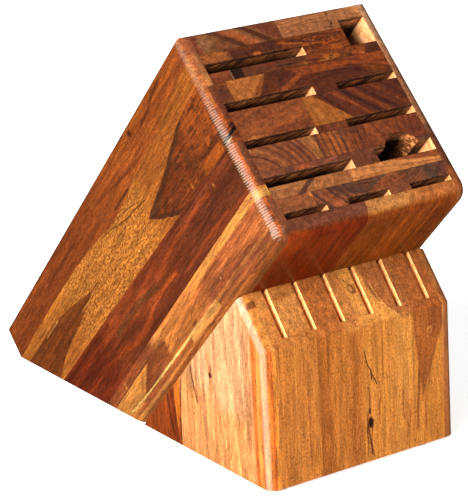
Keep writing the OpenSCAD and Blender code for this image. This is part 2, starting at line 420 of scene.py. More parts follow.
    def fibre(self):
        if not hasattr(self, "_fib"):
            so = self.seed * 2.13
            self._fib = self.noise(self.xyz(self.mad(self.x, 1.35, so), self.mul(self.v, 1.35), self.mul(self.s, 0.12)),
                                   1.0, 3.0, 0.72)
            self._streak = self.noise(self.xyz(self.mad(self.x, 0.46, so), self.mul(self.v, 0.46),
                                               self.mul(self.s, 0.018)), 1.0, 3.0, 0.62)
            po = self.noise(self.xyz(self.mad(self.x, 1.7, so), self.mul(self.v, 1.7), self.mul(self.s, 0.26)),
                            1.0, 1.0, 0.5)
            self._pore = self.rng(po, 0.58, 0.70)
            self._spk = self.noise(self.xyz(self.mad(self.x, 1.25, so), self.mul(self.v, 1.25), self.mul(self.s, 0.7)),
                                   1.0, 1.0, 0.5)
        return self._fib, self._streak, self._pore

    def finish(self, col, kend, kside, wall=None, wall_col=None, lift=1.0, bump_extra=None, seam=None, rough=0.42,
               fib_k=1.0, spk_k=0.5, gloss=(0.10, 0.32, 0.13), edge=None):
        fib, streak, pore = self.fibre()
        # lengthwise streaks and fine fibres modulate the value
        k = self.mad(streak, 1.1 * fib_k, 1 - 0.55 * fib_k)
        k = self.mul(k, self.mad(fib, 1.7 * fib_k, 1 - 0.85 * fib_k))
        k = self.mul(k, self.mad(self._spk, 1.6 * spk_k, 1 - 0.8 * spk_k))
        k = self.mul(k, self.mad(pore, -0.30 * fib_k, 1.0))
        k = self.mx(k, 0.12)
        col = self.scale(col, k)
        if seam is not None:
            col = self.mix(seam, col, (0.035, 0.014, 0.007, 1))
        kk = self.mix(self.end, kside if isinstance(kside, bpy.types.NodeSocket) else kside + (1,), kend + (1,))
        col = self.mix(1.0, col, kk, "MULTIPLY")
        ro = self.mad(fib, 0.16, rough - 0.08)
        ro = self.mad(pore, 0.2, ro)
        if wall is not None:
            saw = self.noise(self.xyz(self.mul(self.x, 1.5), self.mul(self.v, 1.5), self.mul(self.s, 0.9)), 1.0, 4.0, 0.75)
            chat = self.noise(self.xyz(self.mad(self.s, .30, self.mul(self.x, .30)), self.mul(self.s, .16), self.mul(self.v, .3)),
                              1.0, 3.0, 0.70)
            # slot walls: end walls (normal along x) keep a lighter wood colour, the other walls get a far darker one,
            # which is painted shade
            side = self.rng(self.m("ABSOLUTE", self.nx), .35, .85)
            shaded_wall_col = self.mix(self.rng(chat, .38, .66), (0.034, 0.012, 0.006, 1), (0.26, 0.086, 0.026, 1))
            if self.kind == "base":
                lt = self.mix(self.rng(chat, .35, .65), (0.62, 0.27, 0.085, 1), (0.86, 0.45, 0.17, 1))
            else:
                lt = self.mix(self.rng(chat, .35, .65), (0.40, 0.155, 0.050, 1), wall_col)
                hx, hv = self.add(self.x, -100.2), self.add(self.v, -97.6)
                hole = self.rng(self.m("SQRT", self.mad(hx, hx, self.mul(hv, hv))), 14.6, 13.8)
                lump = self.noise(self.xyz(self.mul(self.s, .5), self.mul(self.x, .4), self.mul(self.v, .4)), 1.0, 2.0, .6, .8)
                rough_ = self.mix(self.rng(lump, .46, .60), (0.11, 0.034, 0.010, 1), (0.50, 0.19, 0.06, 1))
                lt = self.mix(hole, lt, rough_)
            wc = self.mix(side, shaded_wall_col, lt)
            # painted shade in the block's slots: the long walls darken from 4 to 10.5 mm in, with a dark line right at
            # the lip
            slot_depth_shade = self.mul(self.rng(self.s, 4.0, 10.5, 1.25, 0.12), self.rng(self.s, .9, 2.0, .15, 1.0))
            wc = self.scale(wc, self.mul(self.mad(saw, 2.1, 0.0), self.lerp(side, slot_depth_shade, 1.0) if self.kind == "block" else 1.0))
            col = self.mix(wall, col, wc)
            ro = self.lerp(wall, ro, 0.85)
        out = self.node("ShaderNodeOutputMaterial")
        b = self.node("ShaderNodeBsdfPrincipled")
        self.put(b.inputs["Base Color"], col)
        self.put(b.inputs["Roughness"], ro)
        b.inputs["IOR"].default_value = 1.5
        b.inputs["Specular IOR Level"].default_value = gloss[0]
        self.put(b.inputs["Coat Weight"], gloss[1] if edge is None else self.lerp(edge, gloss[1], 1.0))
        b.inputs["Coat Roughness"].default_value = gloss[2]
        b.inputs["Coat IOR"].default_value = 1.5
        hgt = self.add(self.mul(fib, 0.5), self.mul(pore, -0.6))
        if wall is not None:
            hgt = self.mad(self.mul(wall, saw), 3.0, hgt)
        if bump_extra is not None:
            hgt = self.add(hgt, bump_extra)
        bp = self.node("ShaderNodeBump")
        bp.inputs["Strength"].default_value = 0.55
        bp.inputs["Distance"].default_value = 0.00010
        self.put(bp.inputs["Height"], hgt)
        self.put(b.inputs["Normal"], bp.outputs[0])
        peel = self.noise(self.P, 260, 1.0, .5)
        ch = self.mul(peel, .8)
        if edge is not None:
            grit = self.noise(self.P, 800, 2.0, .6)
            ch = self.mad(self.mul(grit, edge), 2.4, ch)
        if bump_extra is not None:
            ch = self.add(ch, bump_extra)
        bc = self.node("ShaderNodeBump")
        bc.inputs["Strength"].default_value = 0.5
        bc.inputs["Distance"].default_value = 0.00010
        self.put(bc.inputs["Height"], ch)
        self.put(b.inputs["Coat Normal"], bc.outputs[0])
        self.t.links.new(b.outputs[0], out.inputs[0])
        return self.mat

    def scale(self, col, k):
        nd = self.node("ShaderNodeVectorMath", operation="SCALE")
        self.put(nd.inputs[0], col[:3] if isinstance(col, tuple) else col)
        self.put(nd.inputs["Scale"], k)
        return nd.outputs[0]


# ---------------------------------------------------------------- figure of each stave
# colours are sRGB as seen; CAL holds the light compensation per stave: (end or slot face, long face)
CAL = {
    "back_1": ((0.40, 0.36, 0.27), (0.40, 0.36, 0.27)),
    "back_2": ((0.73, 0.88, 0.83), (0.73, 0.88, 0.83)),
    "base_c_1": ((0.39, 0.36, 0.27), (0.39, 0.35, 0.18)),
    "base_c_2": ((0.40, 0.36, 0.27), (0.42, 0.40, 0.19)),
    "base_c_3": ((0.49, 0.49, 0.38), (0.39, 0.35, 0.19)),
    "base_c_4": ((0.49, 0.43, 0.27), (0.39, 0.36, 0.17)),
    "base_l_1": ((0.36, 0.30, 0.21), (0.36, 0.30, 0.21)),
    "base_l_2": ((0.34, 0.29, 0.35), (0.34, 0.29, 0.35)),
    "base_l_3": ((0.23, 0.20, 0.07), (0.23, 0.20, 0.07)),
    "base_r_1": ((0.33, 0.26, 0.21), (0.33, 0.26, 0.21)),
    "base_r_2": ((0.33, 0.26, 0.21), (0.33, 0.26, 0.21)),
    "base_r_3": ((0.33, 0.26, 0.21), (0.33, 0.26, 0.21)),
    "board1_1": ((0.34, 0.33, 0.28), (0.34, 0.34, 0.28)),
    "board1_2": ((0.36, 0.25, 0.14), (0.36, 0.25, 0.14)),
    "board1_3": ((0.29, 0.24, 0.14), (0.28, 0.24, 0.14)),
    "board2_1": ((0.34, 0.29, 0.21), (0.34, 0.29, 0.21)),
    "board2_2": ((0.08, 0.08, 0.09), (0.08, 0.07, 0.09)),
    "board2_3": ((0.30, 0.23, 0.16), (0.30, 0.23, 0.16)),
    "board3_1": ((0.35, 0.31, 0.19), (0.35, 0.31, 0.19)),
    "board3_2": ((0.23, 0.20, 0.17), (0.23, 0.20, 0.17)),
    "board4_1": ((0.35, 0.35, 0.25), (0.35, 0.35, 0.26)),
    "board4_2": ((0.19, 0.16, 0.13), (0.19, 0.16, 0.13)),
    "board5": ((0.46, 0.28, 0.17), (0.46, 0.28, 0.17)),
    "board6_1": ((0.50, 0.54, 0.41), (0.50, 0.54, 0.41)),
    "board6_2": ((0.52, 0.43, 0.27), (0.52, 0.43, 0.28)),
    "board6_3": ((0.32, 0.29, 0.21), (0.32, 0.29, 0.21)),
    "board7_1": ((0.64, 0.57, 0.46), (0.64, 0.57, 0.46)),
    "board7_2": ((0.30, 0.38, 0.39), (0.30, 0.38, 0.39)),
    "board8_1": ((0.39, 0.34, 0.29), (0.39, 0.34, 0.29)),
    "board8_2": ((0.44, 0.42, 0.42), (0.44, 0.42, 0.42)),
    "board9_1": ((0.86, 0.75, 0.41), (0.86, 0.76, 0.41)),
    "board9_2": ((0.70, 0.58, 0.32), (0.70, 0.58, 0.32)),
    "side_l_1": ((0.19, 0.15, 0.14), (0.24, 0.22, 0.10)),
    "side_l_2": ((0.25, 0.21, 0.17), (0.21, 0.18, 0.09)),
    "side_l_3": ((0.41, 0.40, 0.27), (0.39, 0.28, 0.10)),
    "side_l_4": ((0.30, 0.27, 0.20), (0.30, 0.31, 0.23)),
    "side_r_1": ((0.64, 0.83, 1.03), (0.28, 0.25, 0.13)),
    "side_r_2": ((0.49, 0.59, 0.59), (0.28, 0.25, 0.13)),
    "side_r_3": ((0.35, 0.28, 0.24), (0.28, 0.25, 0.13)),
    "under_1": ((0.36, 0.34, 0.28), (0.46, 0.28, 0.06)),
    "under_2": ((0.41, 0.44, 0.41), (0.50, 0.50, 0.21)),
}
FACE_K = (0.375, 0.325, 0.250)
CAL_DEF = ((1.0, 1.0, 1.0), (1.0, 1.0, 1.0))


def paint(w, col, layers):
    """lays mask, colour, amount layers over the base colour"""
    for mask, c, amt in layers:
        col = self_mix(w, mask, col, c, amt)
    return col


def self_mix(w, mask, col, c, amt):
    f = w.mul(mask, amt) if amt < 1 else mask
    return w.mix(f, col, lin(c))


STAVES = {}


def stave(*names, **kw):
    def deco(fn):
        for n in names:
            STAVES[n] = (fn, kw)
        return fn
    return deco


def burl(w, x0):
    """short curly patches, light and dark"""
    n1 = w.noise(w.xyz(w.mul(w.x, .42), w.mul(w.v, .75), w.seed + 2), 1.0, 2.0, .6, 1.2)
    n2 = w.noise(w.xyz(w.mul(w.x, .36), w.mul(w.v, .70), w.seed + 8), 1.0, 2.0, .6, 1.2)
    m_ = w.rng(w.x, x0, x0 + 8)
    return [(w.mul(m_, w.rng(n1, .54, .62)), (170, 92, 50), .55), (w.mul(m_, w.rng(n2, .54, .62)), (80, 44, 36), .8)]


# --- back row
@stave("back_1", box=(7.6, 0, 63, 14), pith=("line", -35), f=0.16, tone=((150, 96, 62), (92, 52, 36), (112, 66, 46)), ring=0.5)
def _(w):
    return [(w.half((11, 0), (11, 14), .4), (140, 92, 60), 0.0),
            (w.box(7, -2, 11, 15, .35), (128, 62, 45), .9),
            (w.seg((17, -1), (39, 15), 1.6, 1.2), (92, 50, 34), .85),
            (w.seg((26, 0), (46, 15), 2.4, 1.4), (170, 92, 54), .7),
            (w.seg((36, -1), (56, 14), 1.8, 1.4), (82, 44, 32), .85),
            (w.half((62, 16), (43, 0), 1.5), (116, 62, 46), .7),
            (w.ell(15, 8, 5, 4, 0, .5), (152, 110, 80), .5)]


@stave("back_2", box=(63, 0, 119.4, 14), pith=(90, 78), f=0.55, tone=((180, 110, 64), (130, 70, 40), (160, 92, 52)), ring=0.6, spk=.2, fib=.8)
def _(w):
    return [(w.line([(64, 5.4), (74, 4.6), (86, 4.0), (96, 5.6)], .3, .3), (128, 68, 38), .7),
            (w.line([(64, 7.6), (74, 6.8), (84, 5.6), (95, 7.6)], .35, .3), (112, 58, 34), .8),
            (w.line([(99, 6.6), (106, 5.8), (114, 7.2), (121, 6.4)], .35, .3), (122, 66, 38), .7),
            (w.line([(98, 3.6), (108, 3.0), (118, 4.2)], .35, .3), (196, 122, 70), .6),
            (w.line([(64, 9.4), (76, 8.2), (88, 8.6), (96, 9.6)], .5, .4), (204, 128, 74), .6),
            (w.line([(62, 10), (72, 8), (84, 7.4), (96, 10.5), (102, 11)], .35, .3), (110, 58, 34), .7),
            (w.line([(64, 13), (74, 11.2), (84, 12.4), (97, 12.8)], .45, .4), (118, 60, 38), .6),
            (w.ell(94, 12, 4, 1.6, 10, .5), (105, 55, 38), .6),
            (w.half((112, 3), (121, 10), 3), (140, 84, 58), .6),
            (w.vline([(2.4, 97.4), (6.0, 96.7), (8.4, 96.4), (9.2, 97.6), (10.4, 97.2), (11.2, 96.4), (13.6, 95.9)],
                     .22, .18, .4), (34, 18, 12), 1.0),
            (w.ell(97.3, 3, .7, .8, 0, .5), (40, 22, 14), .9),
            (w.ell(97.2, 10.4, .8, .8, 0, .5), (40, 22, 14), .8)]


@stave("board1_1", box=(7.6, 14, 27, 26.8), pith=(15, -40), f=0.4, tone=((170, 98, 54), (130, 68, 40), (150, 84, 48)), ring=.4)
def _(w):
    return [(w.half((27, 30), (23, 12), 2), (110, 62, 44), .8),
            (w.ell(19, 16, 5, 1.6, 0, .5), (186, 110, 60), .5),
            (w.ell(13, 18, 3, 1.2, 10, .5), (178, 100, 52), .5)]


@stave("board1_2", box=(27, 14, 45.5, 26.8), pith=("line", 10), f=.3, tone=((92, 54, 44), (70, 40, 36), (104, 60, 46)), ring=.5)
def _(w):
    return [(w.ell(42.6, 20, 2.6, 1.3, 0, .4), (190, 112, 70), .95),
            (w.box(27, 13, 46, 15.2, .8), (120, 68, 48), .6),
            (w.ell(32, 17.5, 4, 1.6, 10, .5), (84, 52, 48), .6)]


@stave("board1_3", box=(45.5, 14, 119.4, 26.8), pith=("line", 4), f=.42, tone=((150, 78, 42), (92, 48, 36), (176, 96, 48)), ring=.75)
def _(w):
    return [(w.half((58, 12), (60, 28), 2.5), (90, 50, 40), .92),
            (w.box(44, 15, 47.5, 21, .8), (118, 62, 48), .7),
            (w.line([(58, 16.5), (64, 17.3), (70, 18.8), (80, 19)], .7, .5), (178, 98, 52), .7),
            (w.line([(64, 16), (70, 17.0), (76, 18.4), (81, 19.4)], .9, .5), (84, 46, 46), .8),
            (w.line([(70, 21), (80, 20.5), (90, 21.4), (101, 20)], .5, .4), (186, 104, 52), .6),
            (w.ell(88, 21.6, 5, 1.5, -6, .5), (180, 84, 40), .6),
            (w.ell(93, 25.5, 4, 2, 0, .5), (196, 106, 48), .6),
            (w.ell(77, 24, 3, 2.6, 0, .6), (104, 54, 34), .6),
            (w.line([(82, 15.4), (92, 16.2), (102, 17)], .7, .5), (90, 50, 44), .6)] + burl(w, 66)


# --- second board
@stave("board2_1", box=(7.6, 26.8, 20.3, 33), pith=("line", 20), f=.4, tone=((136, 74, 50), (104, 56, 42), (150, 84, 54)), ring=.4)
def _(w):
    return [(w.ell(10, 32, 5, 2, 0, .5), (112, 56, 42), .5)]


@stave("board2_2", box=(20.3, 26.8, 70, 33), pith=("line", 6), f=.6, tone=((94, 52, 40), (66, 40, 36), (124, 66, 44)), ring=.7)
def _(w):
    return [(w.half((29, 36), (28, 24), 1.2), (140, 80, 54), .85),
            (w.box(20, 26, 21.4, 34, .4), (206, 150, 112), .6),
            (w.ell(46.5, 28.2, 4, 1.0, 0, .4), (154, 78, 44), .9),
            (w.line([(41, 32.4), (48, 31.8), (54, 31.5), (62, 31.3), (68, 32)], .5, .35), (160, 86, 46), .8),
            (w.line([(50, 30), (58, 30.4), (64, 30.6)], .4, .3), (72, 42, 40), .8),
            (w.ell(68.4, 31.8, 1.3, .9, 0, .4), (190, 122, 60), .9)]


@stave("board2_3", box=(70, 26.8, 119.4, 33), pith=("line", -3), f=.5, tone=((150, 84, 48), (104, 56, 38), (168, 98, 54)), ring=.75)
def _(w):
    return [(w.ell(74, 30.8, 5, 1.0, 4, .5), (104, 54, 46), .6),
            (w.ell(85, 31, 6, 1.8, -8, .5), (190, 118, 54), .7),
            (w.ell(96, 31.5, 3.6, 2, 0, .5), (100, 64, 38), .8),
            (w.ell(105, 31.8, 4, 1.2, 14, .5), (176, 92, 48), .7),
            (w.ell(107.6, 32.6, 1.2, .8, 0, .5), (214, 132, 66), .8)] + burl(w, 70) + [
            (w.half((106, 37), (112, 26), 1.4), (88, 52, 42), .9)]


# --- third board
@stave("board3_1", box=(7.6, 33, 14.9, 52), pith=("line", 60), f=.5, tone=((122, 66, 48), (88, 48, 42), (132, 74, 52)), ring=.5)
def _(w):
    return [(w.ell(11, 40, 3, 4, 0, .6), (86, 48, 44), .6)]


@stave("board3_2", box=(14.9, 33, 119.4, 52), pith=(88, 108), f=.30, tone=((120, 62, 42), (82, 44, 34), (146, 78, 44)), ring=.7)
def _(w):
    gold = w.half((26, 52), (42, 31), .9)
    gold = w.m("SUBTRACT", 1.0, gold)
    return [(w.below([(50, 42), (62, 37.5), (75, 38.5), (95, 38), (108, 40.5), (122, 43)], 1.6), (98, 54, 42), .0),
            (w.m("SUBTRACT", 1.0, w.below([(45, 28), (56, 34), (64, 38.5), (80, 38.5), (100, 38), (112, 41), (122, 44)], 1.4)),
             (166, 84, 42), .8),
            (w.line([(70, 33.6), (84, 33.4), (98, 35.2), (112, 39), (121, 40)], .8, .7), (120, 58, 34), .6),
            (w.seg((66, 36), (46, 45.5), 1.4, 1.2), (172, 90, 48), .8),
            (w.line([(62, 42), (76, 39.6), (90, 40.2), (104, 45), (110, 48)], .5, .4), (70, 40, 34), .6),
            (w.line([(70, 44), (84, 42), (96, 44.4), (104, 48)], .5, .4), (74, 40, 34), .5),
            (w.ell(109, 42, 7, 3.4, 25, .6), (150, 80, 40), .5),
            (w.seg((45, 33), (31, 48), 1.2, 1.0), (96, 50, 36), .8),
            (w.box(60, 33, 70, 48, 2.5), (120, 60, 40), .35),
            (gold, (194, 121, 64), 1.0),
            (w.mul(gold, w.seg((40, 34), (28, 46), 1.2, 1.0)), (146, 82, 48), .8),
            (w.mul(gold, w.seg((32, 34), (20, 46), .5, .6)), (168, 100, 54), .6),
            (w.mul(gold, w.seg((26, 33), (17, 40), .4, .5)), (214, 140, 80), .6)]


# --- fourth board
@stave("board4_1", box=(7.6, 52, 53.9, 71), pith=("line", 18), f=.34, tone=((156, 82, 52), (122, 62, 44), (172, 94, 58)), ring=.5)
def _(w):
    return [(w.below([(14, 76), (24, 70.5), (34, 65.8), (44, 66), (58, 60)], 1.4), (122, 62, 44), .65),
            (w.line([(20, 71), (30, 66), (42, 64.2), (56, 60)], .5, .5), (176, 92, 54), .6),
            (w.ell(12, 55, 4, 3, 0, .6), (120, 60, 42), .4),
            (w.ell(15, 70.2, 4.5, 1.0, -10, .5), (196, 120, 66), .8),
            (w.line([(9, 62), (22, 59.6), (38, 57.4), (54, 54.4)], .5, .6), (130, 66, 44), .5)]


@stave("board4_2", box=(53.9, 52, 119.4, 71), pith=(150, -39), f=.20, tone=((140, 72, 46), (84, 46, 38), (160, 86, 50)), ring=.5)
def _(w):
    gold = w.m("SUBTRACT", 1.0, w.half((83, 73), (59, 50), .8))
    return [(w.half((112, 52), (124, 62), 3), (112, 60, 46), .6),
            (gold, (192, 117, 58), 1.0),
            (w.mul(gold, w.half((74, 73), (57, 56), 2.5)), (206, 130, 68), .0),
            (w.mul(gold, w.seg((57, 54), (64, 72), 1.6, 2)), (208, 134, 70), .6),
            (w.seg((60, 50), (84, 73), .8, .7), (120, 62, 38), .7), (w.seg((72, 50), (96, 73), 1.3, .8), (158, 82, 44), .7),
            (w.seg((84, 50), (108, 73), 1.3, .9), (150, 78, 44), .7), (w.seg((78, 50), (100, 71), 1.2, .8), (74, 40, 34), .8),
            (w.seg((89, 50), (112, 71), 1.1, .8), (76, 42, 36), .7), (w.seg((98, 50), (119, 69), 1.2, 1.0), (142, 74, 44), .6),
            (w.seg((104, 50), (121, 65), 1.0, .9), (82, 44, 38), .6),
            (w.seg((66, 52), (78, 67), 1.0, .9), (90, 48, 36), .8),
            (w.seg((80, 55), (94, 70), 1.0, .9), (84, 46, 38), .6),
            (w.seg((76, 52), (90, 68), .9, .9), (166, 86, 50), .5),
            (w.seg((92, 55), (108, 69), .9, .9), (92, 50, 42), .5)]


@stave("board5", box=(53.9, 71, 73.9, 75.5), pith=("line", 80), f=.4, tone=((102, 62, 50), (78, 50, 48), (120, 70, 48)), ring=.6)
def _(w):
    return [(w.half((62, 80), (62, 70), 2), (124, 74, 48), .5)]


# --- sixth row
@stave("board6_1", box=(7.6, 75.5, 49.5, 90.5), pith=(4, 99), f=.22, tone=((164, 98, 60), (104, 60, 42), (150, 84, 52)), ring=.5, wob=1.2)
def _(w):
    def arc(r, wd, soft=.4):
        da, db = w.add(w.a, -5), w.add(w.b, -99)
        d = w.m("ABSOLUTE", w.add(w.m("SQRT", w.mad(da, da, w.mul(db, db))), -r))
        return w.rng(d, wd + soft, max(wd - soft, 0))
    return [(w.half((40, 74), (46, 92), 4), (134, 74, 52), .8),
            (arc(18.6, .55), (84, 48, 36), .95), (arc(13.5, .3, .5), (134, 78, 50), .6),
            (arc(25.5, .5), (98, 56, 40), .85), (arc(29.5, .9, .7), (92, 52, 40), .85), (arc(33.5, .5), (98, 56, 42), .8),
            (arc(37, .7, .6), (90, 50, 40), .85), (arc(40.5, .5, .4), (96, 54, 42), .8), (arc(22, 1.0, .8), (178, 108, 66), .5)]


@stave("board6_2", box=(49.5, 75.5, 70, 90.5), pith=("line", 84), f=.36, tone=((142, 82, 52), (98, 60, 44), (156, 92, 58)), ring=.6)
def _(w):
    return [(w.box(49, 74, 51.6, 92, .7), (98, 58, 44), .8), (w.vline([(74, 53.6), (82, 54.2), (92, 53.6)], .5, .4), (96, 56, 42), .8),
            (w.vline([(74, 57.4), (82, 58.2), (92, 57.8)], .6, .4), (92, 54, 40), .8), (w.vline([(74, 61), (82, 62), (92, 61.4)], .5, .4), (94, 56, 42), .8),
            (w.vline([(74, 59.2), (82, 60.2), (92, 59.6)], .5, .4), (172, 104, 62), .6), (w.vline([(74, 65), (82, 65.8), (92, 65.2)], .6, .4), (90, 54, 42), .8),
            (w.vline([(74, 68.4), (82, 69), (92, 68.6)], .5, .4), (98, 58, 44), .7),
            (w.box(64, 74, 72, 80, 2), (100, 64, 50), .6)]


@stave("board6_3", box=(70, 75.5, 119.4, 90.5), pith=("line", 78), f=.26, tone=((144, 76, 50), (108, 58, 44), (160, 88, 54)), ring=.6)
def _(w):
    return [(w.ell(76, 77.5, 2.2, 2.2, 0, .5), (92, 58, 46), .7), (w.vline([(74, 72.4), (82, 73), (92, 72.4)], .5, .4), (98, 56, 42), .7),
            (w.vline([(74, 76), (82, 77.2), (92, 77)], .6, .4), (94, 54, 42), .7), (w.vline([(74, 80), (82, 81.4), (92, 81.6)], .6, .5), (98, 56, 42), .6),
            (w.vline([(74, 88), (80, 89.6), (86, 92)], .6, .5), (98, 54, 42), .6), (w.vline([(74, 94), (80, 96), (84, 99)], .6, .5), (168, 92, 54), .5),
            (w.vline([(75, 84), (80, 85), (85, 87.6), (90, 89)], .4, .4), (166, 90, 54), .6),
            (w.ell(113, 84, 5, 5, 0, .6), (112, 58, 46), .6)]


@stave("board7_1", box=(7.6, 90.5, 57.5, 100.2), pith=("line", 10), f=.5, tone=((112, 64, 48), (84, 52, 44), (130, 74, 52)), ring=.5)
def _(w):
    return [(w.ell(34, 92.4, 3.4, 1.8, 0, .6), (164, 86, 52), .8),
            (w.ell(26, 92.5, 3, 2, 0, .5), (84, 54, 50), .7),
            (w.ell(44, 92.5, 4, 2, 0, .5), (96, 56, 44), .6)]


@stave("board7_2", box=(57.5, 90.5, 119.4, 100.2), pith=("line", 42), f=.34, tone=((112, 66, 52), (82, 58, 54), (134, 78, 54)), ring=.8)
def _(w):
    return [(w.ell(60, 97, 6, 4, 0, .6), (112, 60, 46), .6),
            (w.half((110, 80), (118, 104), 2), (128, 66, 42), .6)]


@stave("board8_1", box=(7.6, 100.2, 58.8, 107.8), pith=("line", 62), f=.5, tone=((166, 108, 68), (128, 80, 52), (184, 124, 80)), ring=.45)
def _(w):
    return [(w.seg((39, 98), (24, 108), 1.3, .9), (100, 64, 52), .9),
            (w.ell(27, 107, 4, 1.0, -12, .5), (104, 66, 52), .7),
            (w.ell(14, 101.4, 6, 1.2, 0, .5), (190, 128, 76), .6),
            (w.half((31, 108), (40, 100), 1.0), (174, 112, 68), .25)]


@stave("board8_2", box=(58.8, 100.2, 119.4, 107.8), pith=("line", -8), f=.35, tone=((196, 126, 68), (160, 94, 52), (214, 142, 80)), ring=.5)
def _(w):
    return [(w.m("SUBTRACT", 1.0, w.below([(82, 98.5), (92, 101.4), (106, 103.2), (121, 104.6)], .45)), (152, 82, 48), .9),
            (w.line([(96, 104.6), (108, 105.8), (121, 106.4)], .35, .4), (158, 88, 50), .7),
            (w.ell(70, 106.6, 12, 1.0, 2, .5), (172, 106, 56), .5)]


@stave("board9_1", box=(7.6, 107.8, 31, 120.3), pith=("line", -6), f=.35, tone=((152, 92, 62), (118, 70, 54), (168, 104, 68)), ring=.5)
def _(w):
    return [(w.ell(28, 113.8, 3.0, 3.0, 20, .35), (196, 124, 78), .95),
            (w.half((26, 106), (31, 111), .6), (112, 66, 52), .7),
            (w.ell(12, 117, 6, 3, 0, .5), (124, 74, 54), .5)]


@stave("board9_2", box=(31, 107.8, 119.4, 120.3), pith=(70, 60), f=.30, tone=((108, 64, 54), (72, 48, 46), (132, 74, 52)), ring=.9)
def _(w):
    def bs(x, w_, c, k):
        return (w.vline([(107, x), (111, x + 1.6), (115, x + 4.6), (121, x + 9)], w_, .5, 1), c, k)
    return [bs(31.5, 1.1, (76, 50, 50), .8), bs(35, .8, (142, 82, 58), .6), bs(41.6, .9, (70, 46, 48), .9),
            bs(38.5, 1.2, (136, 76, 54), .6), (w.ell(44.5, 118, 3, 3, 30, .6), (146, 82, 60), .7),
            bs(46.5, 1.3, (80, 54, 52), .8), bs(51.5, .6, (66, 46, 48), .9), bs(56, 1.4, (84, 60, 58), .7),
            (w.line([(60, 107.6), (68, 111), (76, 112.6), (84, 112)], .5, .5), (72, 46, 46), .8),
            (w.line([(68, 112.5), (74, 109.8), (80, 108)], .8, .6), (80, 66, 56), .8),
            (w.line([(74, 112.4), (84, 112.4), (92, 110.5)], .6, .5), (150, 80, 52), .5),
            (w.ell(108, 112, 5.2, 8, 0, .9), (72, 58, 56), .85),
            (w.ell(116, 112, 3, 4, 0, .5), (90, 54, 52), .7)]


@stave("under_1", box=(7.6, 120.3, 59, 130.2), pith=("line", 4), f=.22, tone=((130, 78, 62), (110, 66, 54), (140, 84, 66)), ring=.4, fib=.7)
def _(w):
    return [(w.half((50, 118), (52, 128), 6), (118, 66, 50), .4),
            # the long face, the underside, is painted in dark shade (114, 47, 17), eased lighter towards the front-left
            # corner
            (w.m("SUBTRACT", 1.0, w.end), (114, 47, 17), 1.0),
            (w.mul(w.m("SUBTRACT", 1.0, w.end), w.mul(w.rng(w.x, 26, 8), w.rng(w.s, 30, 8))), (158, 80, 28), .8)]


@stave("under_2", box=(59, 120.3, 119.4, 130.2), pith=("line", 60), f=.35, tone=((192, 120, 66), (158, 92, 50), (208, 138, 78)), ring=.45)
def _(w):
    und = w.rng(w.s, 6, 12)
    return [(w.half((78, 136), (96, 118), 8), (184, 106, 58), .6),
            # the long face, the underside, is painted in darker shade (128, 61, 23), with a lighter band at x 84 to 104
            # from 6 to 12 mm back
            (w.m("SUBTRACT", 1.0, w.end), (128, 61, 23), 1.0), (w.mul(und, w.band(w.x, 84, 104, 8)), (146, 72, 28), .6),
            (w.mul(w.seg((62, 128), (68, 120), .4, .4), 1.0), (164, 100, 50), .5)]


